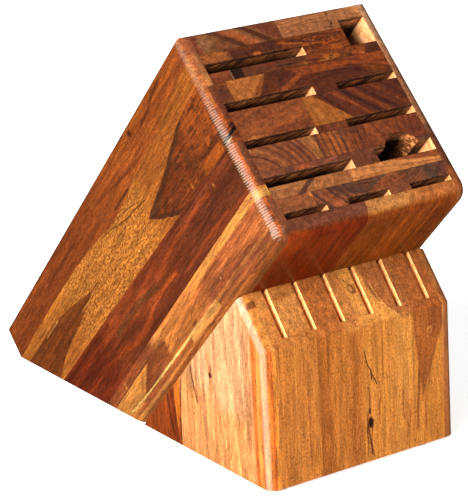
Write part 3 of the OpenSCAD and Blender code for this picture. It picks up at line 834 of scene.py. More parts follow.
# --- left side panel: (a, b) = (s, v); the two upper staves share one continuous picture
def left_upper(w):
    red = w.m("SUBTRACT", 1.0, w.below([(-5, 16), (30, 19), (60, 23), (100, 26), (125, 29), (145, 30), (160, 28.2),
                                        (185, 25.5), (215, 23.4), (250, 22.8), (290, 23), (330, 24)], 1.2))
    vin = w.mul(w.below([(-5, 30), (20, 31), (36, 32.6), (52, 37), (70, 42.5), (90, 47), (106, 50.5), (118, 56)], .7),
                w.m("SUBTRACT", 1.0, w.below([(-5, 76), (66, 72), (76, 67.5), (88, 61.5), (98, 56.5), (106, 51.5), (118, 44)], .8)))
    lens = w.mul(w.below([(196, 47), (206, 42.5), (222, 39), (240, 35.4), (262, 32.4), (290, 31.4), (330, 31)], .6),
                 w.m("SUBTRACT", 1.0, w.below([(196, 43), (206, 45), (226, 48.4), (246, 50.2), (262, 52.6), (276, 56.4), (290, 62),
                                                (330, 80)], .6)))
    mott = w.noise(w.xyz(w.mul(w.s, .36), w.mul(w.v, .85), w.mul(w.x, .5)), 1.0, 2.0, .6)
    mk = w.mul(w.rng(mott, .42, .62), w.band(w.s, 104, 232, 14))
    md = w.mul(w.rng(mott, .50, .36), w.band(w.s, 104, 232, 14))
    front = w.rng(w.s, 112, 60)
    return [
        (w.rng(w.s, 130, 60), (178, 104, 50), .85),
        (w.mul(w.rng(w.s, 110, 60), w.line([(10, 22), (40, 23), (80, 25), (110, 27)], 1.2, 1)), (150, 80, 38), .6),
        (mk, (234, 164, 92), .75), (md, (150, 82, 36), .62),
        (w.line([(100, 41.5), (118, 38.5), (134, 36.2), (150, 31.6), (162, 29.4)], .35, .3), (96, 54, 26), .8),
        (w.line([(112, 37.2), (130, 32.4), (146, 30.4)], .3, .3), (120, 66, 30), .7),
        (w.line([(60, 31), (80, 33), (100, 34)], .8, .8), (170, 100, 46), .5),
        (w.line([(52, 35), (66, 39), (84, 43), (104, 45)], .5, .5), (206, 134, 70), .5),
        (w.line([(190, 45.4), (198, 43.4), (210, 44.2)], .35, .3), (122, 66, 30), .8),
        (w.box(200, 56, 210, 60, 1.4), (150, 86, 40), .5),
        (lens, (134, 70, 32), 1.0),
        (w.mul(lens, w.line([(210, 41.5), (236, 38), (256, 36.4)], .6, .6)), (156, 84, 42), .6),
        (w.mul(lens, w.line([(230, 48), (250, 50), (274, 55)], .8, .7)), (112, 56, 26), .7),
        (w.line([(206, 46.6), (214, 46.0), (224, 45.6)], .4, .35), (232, 170, 102), .7),
        (w.line([(256, 33), (268, 33.4), (280, 33)], .5, .35), (226, 162, 96), .7),
        (w.line([(224, 31), (262, 30), (300, 30.6)], .5, .5), (214, 142, 74), .6),
        # dark V
        (vin, (132, 64, 35), 1.0),
        (w.mul(vin, w.box(-4, 28, 34, 56, 3)), (160, 82, 38), .8),
        (w.mul(vin, w.mul(w.rng(w.s, 40, 30), w.rng(w.noise(w.xyz(w.mul(w.s, .45), w.mul(w.v, .06), 2.0), 1.0, 2.0, .6), .5, .6))), (186, 98, 42), .6),
        (w.mul(vin, w.rng(w.noise(w.xyz(w.mul(w.s, .10), w.mul(w.v, .30), 3.0), 1.0, 3.0, .65), .50, .62)), (96, 50, 34), .75),
        (w.mul(vin, w.rng(w.noise(w.xyz(w.mul(w.s, .12), w.mul(w.v, .34), 9.0), 1.0, 3.0, .65), .54, .66)), (172, 90, 42), .6),
        (w.mul(vin, w.box(8, 62, 34, 70, 1.6)), (184, 96, 38), .9),
        (w.mul(vin, w.line([(-4, 57.5), (8, 60), (22, 60.5), (34, 58.5)], 1.4, 1.2)), (92, 48, 28), .85),
        (w.mul(vin, w.line([(33, 32), (50, 37.6), (66, 43.6), (84, 47.4), (104, 51)], 2.2, 1.2)), (98, 56, 38), .9),
        (w.mul(vin, w.line([(84, 47), (92, 50.5), (104, 51.5)], 3.2, 1.4)), (96, 58, 42), .8),
        (w.mul(vin, w.line([(66, 70), (80, 64.4), (92, 58.4), (104, 52.4)], 1.9, 1.0)), (94, 52, 40), .9),
        (w.mul(vin, w.seg((57, 38), (60, 48), 2.2, 2)), (112, 64, 38), .7),
        (w.mul(vin, w.seg((46, 48), (33, 64), 3, 2.5)), (118, 64, 38), .7),
        (w.mul(vin, w.ell(51.5, 64, 1.2, 2.0, 30, .4)), (188, 112, 64), .7),
        # red-brown upper stave
        (red, (162, 84, 42), 1.0),
        (w.mul(red, w.band(w.v, 9.5, 16, 3)), (150, 74, 38), .5),
        (w.mul(red, w.mul(w.rng(w.s, 110, 40), w.rng(w.v, 14, 19))), (176, 100, 48), .6),
        (w.mul(red, w.rng(w.s, 110, 200)), (141, 68, 36), .9),
        (w.mul(red, w.half((0, 16), (90, 26), 4)), (176, 98, 48), .0),
        (w.mul(red, w.line([(34, 5), (46, 6.4), (56, 9.2), (70, 10.6)], 1.1, .9)), (108, 55, 36), .85),
        (w.mul(red, w.ell(46, 4.8, 2, 1.1, 0, .5)), (120, 66, 42), .7),
        (w.mul(red, w.ell(85, 6.6, 2.6, 2.0, 0, .35)), (104, 50, 28), .9),
        (w.mul(red, w.ell(85, 6.6, 1.1, .9, 0, .4)), (72, 36, 24), .8),
        (w.mul(red, w.line([(60, 4), (80, 3.2), (96, 4.4)], 1.2, 1.2)), (178, 98, 46), .6),
        (w.mul(red, w.line([(10, 14.4), (28, 17.6), (50, 20.4), (90, 18.4)], 1.2, 1)), (140, 68, 36), .6),
        (w.mul(red, w.line([(60, 23), (90, 21.6), (118, 18), (150, 12)], 1.2, 1)), (130, 62, 34), .6),
        (w.mul(red, w.line([(90, 14), (120, 10.4), (160, 9)], 1.6, 1.6)), (172, 90, 44), .6),
        (w.mul(red, w.line([(196, 14), (226, 12.5), (262, 16), (318, 16)], 1.8, 1.8)), (126, 60, 32), .6),
        (w.mul(red, w.line([(240, 6), (280, 5), (318, 7)], 2.0, 2.0)), (156, 78, 40), .6),
        (w.line([(112, 27.4), (124, 26), (136, 26.8)], .8, .6), (100, 54, 34), .7),
        # end of the panel at the slot face
        (w.mul(front, w.line([(-1, 28), (30, 27.6), (44, 29.4)], .5, .6)), (150, 84, 40), .3)]


def left_end(w, bands):
    """coarse bands of the panel's end grain on the slot face, (v0, v1, colour)"""
    e = w.rng(w.s, 5.2, .8)
    return [(w.mul(e, w.mul(w.band(w.v, a, b, .7), w.band(w.x, x0, x1, .35))), c, k) for a, b, x0, x1, c, k in bands]


@stave("side_l_1", "side_l_2", pith=("line", 88), f=.22, tone=((196, 120, 56), (172, 98, 45), (208, 134, 68)), ring=.5, face="left", spk=.9, blot=.8)
def _(w):
    return left_upper(w) + left_end(w, [
        (-2, 14, -1, 4, (196, 118, 68), .9), (-2, 34, 3.8, 8, (196, 124, 78), .8), (13, 34, 3.6, 8, (214, 152, 92), .7),
        (13, 34, -1, 4.6, (208, 132, 78), .95), (34, 56, 3.5, 8, (126, 70, 48), .85), (34, 45, -1, 3.6, (206, 124, 62), .8),
        (45, 61, -1, 4.2, (196, 104, 44), .85), (47, 50, 1, 4, (130, 70, 50), .5)]) + [
        (w.mul(w.rng(w.s, 7.5, 5.0), w.rng(w.m("ABSOLUTE", w.sub(w.v, w.add(w.mad(w.x, -.72, 66.2), w.mad(w.q2, 3.0, -1.5)))),
                                           1.5, .9)), (20, 10, 7), 1.0),
        (w.mul(w.band(w.x, -1, 3.2, .5), w.mul(w.rng(w.s, 5, 3), w.rng(w.m("ABSOLUTE", w.sub(w.v, w.mad(w.x, -.72, 68.1))), .6, .3))),
         (222, 184, 150), .9),
        (w.mul(w.band(w.x, 2.6, 7.7, .3), w.mul(w.rng(w.s, 2, 1), w.rng(w.m("ABSOLUTE", w.sub(w.v, w.mad(w.x, -.55, 62.2))), .5, .2))),
         (30, 15, 10), .9)]


@stave("side_l_3", pith=("line", 85), f=.3, tone=((106, 52, 36), (84, 42, 33), (126, 64, 42)), ring=.7, face="left", spk=.7)
def _(w):
    return [(w.rng(w.s, 140, 50), (82, 43, 37), .95),
            (w.box(-5, 62, 60, 78, 4), (94, 48, 40), .5), (w.mul(w.rng(w.s, 100, 40), w.rng(w.v, 92, 96)), (112, 56, 42), .7),
            (w.line([(40, 76), (80, 74.5), (130, 78), (170, 74), (220, 74)], 1.6, 1.6), (128, 64, 42), .7),
            (w.line([(104, 90), (120, 86.6), (140, 87.6), (170, 91), (200, 86)], 1.1, 1.0), (146, 72, 42), .6),
            (w.line([(112, 84.4), (130, 85.4), (150, 84)], .5, .6), (140, 72, 44), .4),
            (w.line([(130, 82), (150, 79), (176, 77), (196, 80)], 2.4, 1.6), (92, 56, 44), .85),
            (w.line([(150, 91.6), (170, 93), (200, 88), (240, 88)], 1.8, 1.6), (138, 66, 34), .7),
            (w.rng(w.s, 190, 230), (98, 38, 20), .75),
            (w.line([(200, 68), (240, 67), (282, 65)], 1.4, 1.0), (76, 32, 18), .7),
            (w.line([(196, 83), (230, 85.4), (262, 83)], .7, .7), (126, 56, 28), .8),
            (w.line([(196, 72), (230, 71), (276, 68.6)], .6, .7), (118, 52, 28), .6),
            (w.line([(30, 93.6), (70, 92), (100, 94.4)], 1.2, 1.2), (120, 58, 38), .7),
            (w.ell(32.5, 75.5, .8, 1.3, 20, .6), (166, 110, 84), .6),
            (w.line([(-2, 70.4), (30, 70.3), (76, 69.2)], .5, .5), (70, 36, 28), .6)] + left_end(w, [
                (60, 99, -1, 3.8, (176, 84, 40), .8), (60, 99, 3.6, 8, (112, 62, 46), .8)])


@stave("side_l_4", pith=("line", 80), f=.28, tone=((158, 80, 46), (128, 62, 38), (182, 100, 54)), ring=.7, face="left", spk=.7)
def _(w):
    top = w.m("SUBTRACT", 1.0, w.below([(-5, 103.6), (60, 103.4), (78, 103.8), (92, 104.8), (110, 106), (130, 110), (150, 116),
                                        (180, 124)], .7))
    return [(w.mul(w.rng(w.v, 123.4, 125.6), w.rng(w.s, 30, 120, .35, 1.0)), (208, 132, 72), .75),
            (w.mul(top, w.rng(w.s, 172, 150)), (226, 144, 76), .95),
            (w.mul(top, w.line([(-2, 103.2), (40, 102.9), (80, 102.6)], .3, .3)), (150, 84, 44), .6),
            (w.mul(w.rng(w.s, 70, 110), w.rng(w.s, 170, 140)), (196, 112, 56), .75),
            (w.line([(46, 105), (70, 105.6), (90, 107.5), (112, 112)], .5, .4), (140, 70, 38), .7),
            (w.line([(56, 103.6), (80, 105.2), (104, 107.6), (130, 112), (152, 120)], .5, .5), (150, 80, 40), .6),
            (w.line([(104, 103.6), (126, 105.4), (148, 111), (160, 119)], .5, .5), (164, 88, 42), .5),
            (w.line([(16, 111), (40, 108.6), (62, 108.2)], .7, .7), (150, 76, 40), .5),
            (w.line([(26, 117), (36, 116.4)], .5, .4), (104, 50, 30), .7),
            (w.ell(66, 114.4, 1.7, 1.5, 0, .4), (108, 54, 34), .8), (w.ell(67.3, 113.6, .8, .7, 0, .4), (228, 160, 110), .8),
            (w.ell(81, 116, 5, 2.4, 0, .6), (124, 62, 40), .8),
            (w.ell(112, 117, 3.5, 1.6, 0, .6), (150, 76, 40), .7),
            (w.box(150, 105, 196, 118.6, 3), (134, 66, 33), .8),
            (w.line([(150, 108), (170, 107), (190, 110)], .6, .5), (104, 50, 26), .6),
            (w.line([(156, 114), (176, 112), (200, 115)], .7, .6), (110, 54, 28), .6),
            (w.mul(w.below([(174, 106.2), (200, 106.4), (240, 107)], .3),
                   w.half((198, 119), (176, 104), 1.6)), (208, 132, 66), 1.0),
            (w.mul(w.below([(174, 106.2), (200, 106.4), (240, 107)], .3), w.seg((188, 107), (200, 117), 1.4, 1.4)), (170, 96, 44), .5),
            (w.box(188, 90, 240, 104.6, 3), (150, 72, 38), .8),
            (w.ell(214, 103.4, 1.6, 1.8, 0, .5), (206, 120, 64), .7),
            (w.line([(174, 106), (200, 106), (236, 106.6)], .4, .3), (92, 46, 26), .6),
            (w.line([(82, 119.6), (120, 119.8), (150, 120), (190, 119.4), (222, 117.6)], .75, .3), (238, 182, 116), .95),
            (w.line([(-4, 120.6), (30, 120.2), (70, 120.2), (100, 120.6)], 1.4, .6), (196, 116, 66), .5),
            (w.box(120, 121, 230, 124, .8), (160, 82, 42), .7),
            (w.box(80, 120.4, 122, 124.6, .9), (222, 150, 84), .8),
            (w.box(54, 121, 76, 124, 1.4), (150, 78, 42), .6),
            (w.below([(-5, 125.6), (60, 125.2), (120, 126), (230, 126.5)], .5), (136, 66, 30), .7),
            (w.line([(40, 128), (90, 127.6), (150, 129), (230, 129)], .6, .4), (196, 112, 54), .6)] + left_end(w, [
                (99, 104, -1, 8, (226, 164, 96), .9), (104.5, 131, -1, 4.4, (190, 92, 40), .85), (106, 131, 4, 8, (140, 84, 60), .8),
                (109, 112, 0, 3.6, (110, 56, 34), .6), (115, 119, 1, 3.6, (100, 50, 28), .7)])


# --- right side panel (outer face hidden from the front left view)
def right_fig(w):
    return [(w.line([(0, 30), (90, 34), (180, 28), (320, 33)], 5, 4), (150, 84, 46), .5),
            (w.line([(20, 8), (120, 12), (240, 7)], 2.5, 2.5), (134, 74, 42), .5),
            (w.line([(40, 58), (110, 66), (200, 60), (260, 64)], 3, 3), (198, 122, 66), .5),
            (w.line([(-5, 78), (80, 82), (180, 76), (260, 80)], 2.4, 2.2), (120, 62, 38), .6),
            (w.line([(10, 104), (90, 108), (180, 103), (240, 106)], 3, 3), (204, 130, 68), .5),
            (w.ell(132, 71, 3.6, 2.6, 0, .4), (104, 54, 32), .8),
            (w.line([(100, 68), (132, 74.6), (170, 70)], .8, .8), (118, 62, 36), .7)]


@stave("side_r_1", pith=("line", 86), f=.26, tone=((168, 102, 58), (138, 78, 46), (186, 118, 68)), ring=.55, face="left", wallx=-1)
def _(w):
    return right_fig(w) + left_end(w, [(-2, 30, 119, 128, (166, 106, 72), .6), (30, 46, 119, 128, (150, 86, 52), .6)])


@stave("side_r_2", pith=("line", 84), f=.3, tone=((142, 76, 46), (112, 60, 40), (160, 90, 52)), ring=.55, face="left", wallx=-1)
def _(w):
    return right_fig(w) + left_end(w, [(44, 84, 119, 128, (150, 90, 60), .6), (84, 92, 119, 128, (104, 62, 46), .7)])


@stave("side_r_3", pith=("line", 87), f=.25, tone=((182, 112, 60), (150, 84, 46), (204, 134, 74)), ring=.55, face="left", wallx=-1)
def _(w):
    return right_fig(w) + left_end(w, [(88, 112, 119, 128, (112, 66, 50), .7), (112, 131, 119, 128, (176, 108, 62), .5)])


# --- base, left side: (a, b) = (y from the front, down from the step)
@stave("base_l_1", pith=("line", 84), f=.5, tone=((200, 120, 62), (176, 96, 48), (220, 144, 80)), ring=.5, face="bside", spk=.8)
def _(w):
    fr = w.rng(w.dot(w.N, (0, -1, 0), 0), .35, .7)
    return [(w.box(3.0, -5, 14, 115, .8), (220, 134, 64), .8), (w.box(9.6, -5, 13.4, 115, .8), (192, 108, 50), .9),
            (w.box(4.0, -5, 5.2, 115, .5), (200, 108, 44), .8), (w.box(5.8, -5, 8.6, 115, .5), (230, 148, 78), .7),
            (w.mul(fr, w.band(w.x, 1.4, 5.0, .5)), (214, 120, 46), .95), (w.mul(fr, w.band(w.x, 3.3, 4.3, .4)), (196, 96, 34), .8),
            (w.mul(fr, w.rng(w.x, 4.6, 5.4)), (238, 154, 76), .95),
            (w.mul(w.end, w.band(w.x, -1, 9, .5)), (214, 134, 66), .95), (w.mul(w.end, w.band(w.x, 4.8, 7.0, .4)), (230, 156, 88), .8),
            (w.ell(4.5, 12, 2.4, 6, 0, .5), (150, 72, 32), .7),
            (w.line([(12, 0), (12.6, 0)], 1, 1), (172, 92, 48), 0.0)]


@stave("base_l_2", pith=("line", 87), f=.18, tone=((234, 182, 116), (214, 154, 90), (244, 198, 136)), ring=.4, face="bside", fib=1.0, spk=.8, blot=1.2)
def _(w):
    return [(w.end, (214, 134, 66), .95), (w.mul(w.end, w.ell(17, 5, 1.8, 2.4, 0, .5)), (112, 60, 34), .8), (w.below([(10, 62), (40, 70), (60, 66), (90, 60)], 16), (228, 160, 82), .9),
            (w.box(13, 10, 19, 110, 3), (216, 150, 84), .6),
            (w.vline([(40, 55), (50, 56), (60, 54.6), (70, 55)], 2.2, 1.6, 5), (214, 148, 80), .7),
            (w.ell(55, 54.6, 1.8, 1.7, 0, .35), (96, 50, 30), .95), (w.ell(54.4, 51, 1.0, 2.4, 8, .5), (170, 104, 60), .7),
            (w.vline([(54, 75.6), (60, 74.8), (67, 72.6), (76, 70.2)], .75, .5, 1.5), (128, 70, 32), .95),
            (w.vline([(58, 81.5), (62, 84.6), (66, 86.6), (76, 88), (88, 89.6), (98, 89.8)], .95, .5, 1.5), (84, 42, 22), 1.0),
            (w.vline([(70, 66), (90, 69), (110, 69)], 1.2, 1.0), (206, 142, 78), .6),
            (w.vline([(76, 77), (90, 76), (110, 78)], 1.4, 1.2), (206, 140, 72), .6),
            (w.vline([(60, 62), (80, 63), (100, 61)], 1.0, 1.0), (214, 154, 90), .6),
            (w.box(78, 58, 87, 110, 3), (226, 156, 84), .6)]


@stave("base_l_3", pith=("line", 84), f=.3, tone=((168, 78, 34), (130, 56, 26), (184, 90, 42)), ring=.8, face="bside", spk=.6)
def _(w):
    wedge = w.mul(w.half((103, 76), (88, 104), .8), w.m("SUBTRACT", 1.0, w.half((96, 60), (96, 110), 0.1)))
    return [(w.m("SUBTRACT", 1.0, w.half((99, 60), (88, 106), 1.0)), (222, 128, 56), .0),
            (w.mul(w.half((90, 101), (100, 74), .8), w.m("SUBTRACT", 1.0, w.half((91, 50), (91, 60), .01))), (220, 126, 55), .0),
            (w.box(88, 60, 95, 88, 1.2), (222, 128, 56), .95), (w.ell(92, 90, 2.6, 9, -14, .35), (220, 124, 54), .9),
            (w.vline([(72, 99.5), (84, 97), (96, 95), (108, 93)], 2.0, 1.0, 1), (124, 52, 24), .8),
            (w.vline([(78, 103), (90, 100.6), (104, 97)], 1.2, .8, 1), (106, 44, 22), .8),
            (w.vline([(90, 90), (98, 89.6), (104, 90.4)], .7, .5, 1), (80, 40, 24), .8)]


# --- base, right side
def base_right(w):
    return [(w.vline([(0, 30), (50, 34), (110, 31)], 2.5, 2.5), (178, 108, 56), .5),
            (w.vline([(20, 62), (60, 58), (110, 61)], 2, 2), (220, 156, 90), .5),
            (w.ell(48, 66, 1.8, 2.2, 0, .4), (110, 62, 34), .8)]


@stave("base_r_1", pith=("line", 86), f=.24, tone=((208, 136, 74), (176, 104, 54), (222, 154, 90)), ring=.5, face="bside")
def _(w):
    return base_right(w)


@stave("base_r_2", pith=("line", 82), f=.26, tone=((186, 112, 60), (150, 84, 46), (204, 132, 74)), ring=.5, face="bside")
def _(w):
    return base_right(w)


@stave("base_r_3", pith=("line", 85), f=.3, tone=((160, 84, 44), (128, 64, 36), (178, 98, 52)), ring=.5, face="bside")
def _(w):
    return base_right(w)


# --- base, front: (a, b) = (x, down from the crease)
@stave("base_c_1", pith=("line", 88), f=.5, tone=((206, 130, 70), (184, 108, 56), (220, 148, 86)), ring=.18, face="front", wallx=2, spk=1.1, fib=.8, blot=.8)
def _(w):
    # the first box darkens the top of the slanted face next to the block: painted shadow from the block above
    return [(w.box(7, -30, 17, -24, 2.5), (176, 104, 56), .3), (w.box(17, -24, 33, -6, 3), (218, 150, 90), .6),
            (w.ell(24, -22, 7, 1.6, -8, .6), (176, 104, 56), .7),
            (w.vline([(2, 28), (40, 27), (80, 29)], .4, .4), (180, 104, 54), .6),
            (w.vline([(-4, 20), (30, 19.4), (80, 21)], .6, .6), (222, 150, 88), .5)]


@stave("base_c_2", pith=("line", 90), f=.45, tone=((192, 114, 60), (166, 92, 46), (208, 134, 74)), ring=.18, face="front", wallx=2, spk=1.1, fib=.8, blot=.8)
def _(w):
    return [(w.box(34, 0, 42.6, 84, .7), (160, 82, 38), .85), (w.box(34, 8, 38.6, 84, .8), (142, 70, 32), .7),
            (w.box(36, -30, 53, -2, 2), (176, 104, 60), .7), (w.box(53, -30, 65, 2, 2), (212, 144, 88), .7),
            (w.vline([(40, 42), (56, 41), (80, 43.5)], .8, .6), (140, 72, 36), .6),
            (w.vline([(64, 43.6), (69, 43.9)], .35, .3, .6), (50, 22, 14), 1.0),
            (w.vline([(69, 43.4), (77, 42.8)], .3, .3, .8), (110, 56, 30), .7),
            (w.box(56, 4, 61, 76, 1.6), (170, 98, 52), .5), (w.vline([(50, 58), (80, 57)], .6, .6), (166, 94, 48), .5),
            (w.half((60, 0), (44, 84), 14), (200, 122, 62), .3)]


@stave("base_c_3", pith=("line", 92), f=.38, tone=((218, 144, 76), (196, 120, 58), (228, 158, 92)), ring=.18, face="front", wallx=2, spk=1.1, fib=.8, blot=.8)
def _(w):
    brown = w.mul(w.rng(w.sub(w.a, w.curve([(-32, 76), (-20, 77.5), (-13, 79.5), (-8, 83), (-3, 88), (2, 92), (8, 94)], w.b)), -.5, .5),
                  w.rng(w.b, 4, -1.5))
    return [(brown, (170, 100, 58), 1.0),
            (w.box(64, -30, 78, 0, 2), (208, 138, 78), .3),
            (w.vline([(-18, 80.5), (-12, 82), (-6, 84.6)], .35, .4, 1), (230, 160, 96), .6),
            (w.ell(68.2, -17, 2.8, 2.0, 40, .35), (126, 70, 38), .9), (w.ell(67.6, -17.4, 1.5, 1.1, 40, .35), (206, 132, 78), .7),
            (w.line([(65, -22), (68, -19), (71, -15)], .3, .3, .5), (110, 60, 34), .7),
            (w.vline([(15, 65.6), (22, 67), (27, 69.2), (32, 71.4), (36, 73.4)], .38, .3, .6), (88, 42, 20), 1.0),
            (w.vline([(34, 73.6), (42, 75.6), (50, 74.4), (60, 74.6)], .4, .4, 1), (168, 92, 44), .8),
            (w.vline([(26, 69.5), (33, 69.8)], .5, .4, .8), (76, 38, 20), .9),
            (w.vline([(36, 67), (46, 68), (52, 66.4), (60, 65.8), (70, 67)], .45, .4, 1), (140, 72, 34), .8),
            (w.ell(67.9, 50.6, .8, 2.0, 0, .4), (60, 30, 16), .95),
            (w.ell(68.2, 57.6, 1.9, 3.6, -6, .3), (52, 26, 14), 1.0),
            (w.vline([(58, 66), (66, 67.4), (77, 68.6)], .5, .45, 1), (100, 50, 26), .9),
            (w.vline([(60, 70.6), (68, 68.6), (78, 70)], .4, .4, 1), (130, 68, 34), .8),
            (w.vline([(60, 64.8), (68, 66), (77, 65.4)], .3, .35, 1), (120, 62, 30), .7),
            (w.vline([(3, 77.4), (14, 78), (34, 77.2)], .3, .3, 2), (178, 104, 52), .7),
            (w.vline([(2, 70.6), (20, 71.4)], .3, .35, 2), (182, 106, 54), .6),
            (w.vline([(44, 91.6), (52, 91), (62, 92.4)], .35, .35, 1.5), (168, 90, 42), .8),
            (w.vline([(58, 96), (66, 95), (72, 93), (77, 92.6)], .45, .4, 1.5), (120, 62, 30), .9),
            (w.vline([(64, 93.8), (72, 94.6)], .35, .35, .8), (130, 70, 36), .8),
            (w.ell(92.6, 77, .8, .8, 0, .4), (60, 30, 18), .9), (w.ell(98.4, 76.4, .8, .9, 0, .4), (70, 36, 20), .9),
            (w.vline([(46, 85), (58, 84), (76, 85.5)], .5, .6, 2), (200, 122, 58), .6),
            (w.box(91, 50, 100, 80, 2.5), (206, 128, 62), .5)]


@stave("base_c_4", pith=("line", 86), f=.42, tone=((214, 138, 72), (190, 112, 56), (226, 154, 88)), ring=.18, face="front", wallx=2, spk=1.1, fib=.8, blot=.8)
def _(w):
    brown = w.mul(w.half((104, 44), (98, -4), 1.2),
                  w.m("SUBTRACT", 1.0, w.rng(w.sub(w.a, w.curve([(-32, 124), (0, 123), (12, 120), (20, 117), (28, 114), (36, 111), (44, 108), (56, 104)], w.b)), -.8, .8)))
    brown2 = w.rng(w.b, 0, -3)
    return [(w.mx(brown, 0.0), (174, 98, 54), .95), (brown2, (168, 100, 60), .9),
            (w.mul(brown, w.box(110, -2, 121, 16, 3)), (158, 84, 50), .7),
            (w.vline([(34, 103), (44, 102.6), (56, 101.4), (70, 100.8)], .9, .7, 2), (158, 86, 44), .85),
            (w.vline([(30, 109.6), (40, 110), (46, 108.6)], .6, .5, 2), (160, 88, 46), .7),
            (w.vline([(48, 106), (60, 107), (74, 106)], .5, .6, 2), (186, 108, 52), .6),
            (w.vline([(50, 115), (64, 114), (78, 116)], .5, .6, 2), (186, 108, 52), .5),
            (w.ell(111, 13, 1.8, 2.0, 0, .4), (214, 140, 84), .8), (w.ell(111, 13.4, .9, 1.0, 0, .4), (140, 76, 44), .8),
            (w.ell(101.6, 15, .7, .7, 0, .4), (110, 56, 34), .7)]


SLOT_AT = [(7.6, 72, 21.3), (7.6, 65.1, 46.5), (80, 119.4, 47.9), (7.6, 53.9, 71), (73.9, 119.4, 71), (7.6, 65.1, 94.6),
           (81.2, 90, 92.4), (9, 36.5, 116.9), (50, 77.5, 116.9), (91.3, 118.8, 116.9), (102, 119.4, 9.8)]


def lip_chips_and_highlight(w, box):
    """torn fibres along the upper lip of each slot that this stave borders: a broken dark band at the lip, and above it
    a broken light band that is a painted highlight on the lip
    """
    x0, v0, x1, v1 = box
    dark = lip_highlight = None
    for a, b, v in SLOT_AT:
        if b < x0 + 1 or a > x1 - 1 or v < v0 - .2 or v > v1 + .2:
            continue
        xs = w.band(w.x, a, b, .3)
        d_ = w.mul(xs, w.band(w.v, v - .75, v + .3, .3))
        l_ = w.mul(xs, w.band(w.v, v - 1.3, v - .5, .35))
        dark = d_ if dark is None else w.mx(dark, d_)
        lip_highlight = l_ if lip_highlight is None else w.mx(lip_highlight, l_)
    if dark is None:
        return []
    n = w.noise(w.xyz(w.mul(w.x, 1.25), w.mul(w.v, 1.6), w.seed), 1.0, 2.0, .6)
    n2 = w.noise(w.xyz(w.mul(w.x, 1.9), w.mul(w.v, 1.9), w.seed + 5), 1.0, 1.0, .6)
    # the light band is painted highlight
    return [(w.mul(dark, w.rng(n, .38, .56)), (44, 24, 15), .85), (w.mul(lip_highlight, w.rng(n2, .60, .70)), (232, 176, 112), .8)]


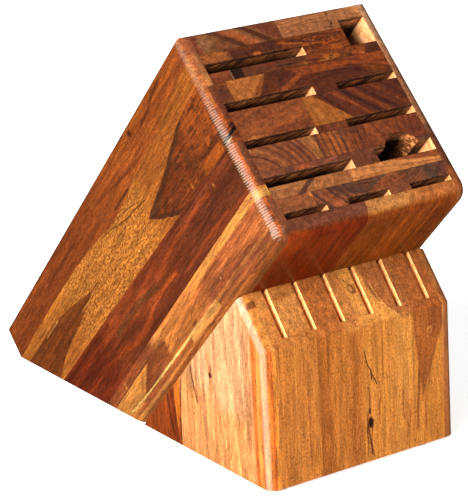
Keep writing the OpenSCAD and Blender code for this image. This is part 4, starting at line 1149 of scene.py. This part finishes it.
# ---------------------------------------------------------------- build the materials
def build_stave(name, idx):
    fn, kw = STAVES[name]
    kind = "base" if name.startswith("base") else "block"
    w = Wood("wood_" + name, idx + 1, kind)
    face = kw.get("face")
    if face == "left":
        w.plane(w.s, w.v, 1.5)
    elif face == "bside":
        w.plane(w.v, w.s, 1.2)
    elif face == "front":
        w.plane(w.x, w.h, 1.0)
    else:
        w.plane(w.x, w.v, 1.3)
    base, dark, light = kw["tone"]
    kend, kside = CAL.get(name, CAL_DEF)
    adj, adj2 = (1, 1, 1), (1, 1, 1)
    if kind == "block" and "box" in kw:
        adj = tuple(kend[i] / FACE_K[i] for i in range(3))
        adj2 = tuple(k ** .4 for k in adj)
        kend, kside = FACE_K, tuple(kside[i] / adj[i] for i in range(3))
    vx = w.v if kind == "block" else w.v
    wide, thin = w.rings(kw["pith"], kw["f"], kw.get("drift", 0.02), kw.get("wob", 3.0))
    rk = kw.get("ring", .5)
    col = w.mix(w.mul(wide, rk), lin(base, adj), lin(dark, adj))
    col = w.mix(w.mul(w.rng(w.w2, .45, .7), .7), col, lin(light, adj))
    col = w.mix(w.mul(thin, rk * .45), col, lin(dark, adj))
    layers = fn(w)
    if "box" in kw:
        layers = layers + lip_chips_and_highlight(w, kw["box"])
    for mask, c, amt in layers:
        if amt > 0:
            amt = 1 - (1 - amt) ** 1.5
            col = w.mix(w.mul(mask, amt) if amt < 1 else mask, col, lin(c, adj2))
    # blotches that wander over the figure
    bl = w.noise(w.xyz(w.mad(w.x, .30, w.seed * 1.7), w.mul(w.v, .30), w.mul(w.s, .035)), 1.0, 3.0, .66)
    col = w.scale(col, w.rng(bl, .36, .64, 1 - .26 * kw.get("blot", 1.0), 1 + .22 * kw.get("blot", 1.0)))
    # the bands stay faintly visible over the painted areas
    col = w.scale(col, w.mad(wide, -.20 * rk, w.mad(thin, -.14 * rk, 1 + .12 * rk)))
    if name.startswith("base_l"):
        kend = CAL["base_c_1"][0]
        fr = w.rng(w.dot(w.N, (0, -1, 0), 0), .35, .7)
        kside = w.mix(fr, kside + (1,), CAL["base_c_1"][1] + (1,))
    wall, wallc, seam = None, (0.56, 0.28, 0.125, 1), None
    if kind == "block":
        if kw.get("wallx"):
            wall = w.mul(w.rng(w.nx, -.5, -.9), 1.0)
        elif name.startswith("side_l"):
            wall = w.rng(w.nx, .5, .9)
        else:
            wall = w.mul(w.rng(w.s, .15, .9), w.m("SUBTRACT", 1.0, w.end))
            if name.startswith("back"):
                wall = w.mul(wall, w.rng(w.v, 4.5, 7))
            if name.startswith("under"):
                wall = w.mul(wall, w.rng(w.v, 123, 121))
        if "box" in kw:
            x0, v0, x1, v1 = kw["box"]
            dx = w.mn(w.add(w.x, -x0), w.m("SUBTRACT", x1, w.x))
            dv = w.mn(w.add(w.v, -v0), w.m("SUBTRACT", v1, w.v)) if name[:4] not in ("back", "unde") else (
                w.m("SUBTRACT", v1, w.v) if name[:4] == "back" else w.add(w.v, -v0))
            seam = w.mul(w.rng(w.mn(dx, dv), .42, .08), .45)
    else:
        wall = w.rng(w.m("ABSOLUTE", w.nx), .5, .9) if kw.get("wallx") else None
    extra = None
    if name.startswith("side_l"):
        # chatter marks left by the cutter along the rounded front edge, as bumps; the colour along them is a painted
        # highlight of lighter, darker and whitish bars
        rip = w.m("SINE", w.mad(w.v, 2 * math.pi / 1.55, w.mad(w.q3, 5.0, w.mul(w.s, .35))))
        mid = w.mul(w.mul(w.rng(w.s, .6, 1.8), w.rng(w.s, 7.2, 5.6)), w.rng(w.nx, -.30, -.60))
        amp = w.mul(mid, w.mul(w.rng(w.v, 22, 44, .25, 1.0), w.rng(w.q2, .34, .56, .35, 1.0)))
        extra = w.mul(w.mul(rip, amp), 1.5)
        # painted highlight: the colour is raised and lowered along the ripples and mixed towards whitish (208, 182,
        # 160), growing from v 40 to v 66
        col = w.scale(col, w.mad(w.mul(rip, amp), .34, 1.0))
        col = w.mix(w.mul(w.mul(w.rng(rip, 0, .9), amp), w.rng(w.v, 40, 66, .0, .34)), col, lin((208, 182, 160)))
        relief = w.noise(w.xyz(w.mul(w.x, .9), w.mul(w.v, .9), w.mul(w.s, .9)), 1.0, 2.0, .6)
        extra = w.add(extra, w.mul(w.mul(relief, w.rng(w.s, 8.0, 6.0)), w.rng(w.v, 46, 30, .4, 2.6)))
    edge = None
    if name.startswith("side_l"):
        edge = w.mul(w.mul(w.rng(w.s, 8.0, 6.2), w.rng(w.nx, -.1, -.4)), w.rng(w.v, 30, 60, .10, 1.0))
    elif name.startswith("base_l"):
        ax = w.m("ABSOLUTE", w.nx)
        edge = w.mul(w.rng(ax, .995, .95), w.rng(ax, .1, .35))
    m_ = w.finish(col, kend, kside, wall, wallc, bump_extra=extra, seam=seam, fib_k=kw.get("fib", 1.0),
                  spk_k=kw.get("spk", .5), edge=edge,
                  gloss=(0.04, 0.06, 0.2) if name.startswith("under") else
                  ((0.08, 0.22, 0.19) if name.startswith(("side_l", "base_l")) else (0.08, 0.26, 0.15)))
    ob = nodes[name]
    ob.data.materials.clear()
    ob.data.materials.append(m_)


def clear_rubber():
    g = G("clear_rubber")
    tc = g.node("ShaderNodeTexCoord")
    n = g.noise(tc.outputs["Object"], 900, 2, .5)
    b = g.node("ShaderNodeBsdfPrincipled")
    out = g.node("ShaderNodeOutputMaterial")
    g.put(b.inputs["Base Color"], g.mix(n, (0.42, 0.44, 0.47, 1), (0.58, 0.60, 0.63, 1)))
    b.inputs["Transmission Weight"].default_value = 0.45
    b.inputs["IOR"].default_value = 1.45
    g.put(b.inputs["Roughness"], g.mad(n, .12, .12))
    g.t.links.new(b.outputs[0], out.inputs[0])
    nodes["feet"].data.materials.clear()
    nodes["feet"].data.materials.append(g.mat)


for i, n in enumerate(sorted(STAVES)):
    build_stave(n, i)
clear_rubber()
missing = [n for n in nodes if n not in STAVES and n != "feet"]
print("staves without a figure:", missing)
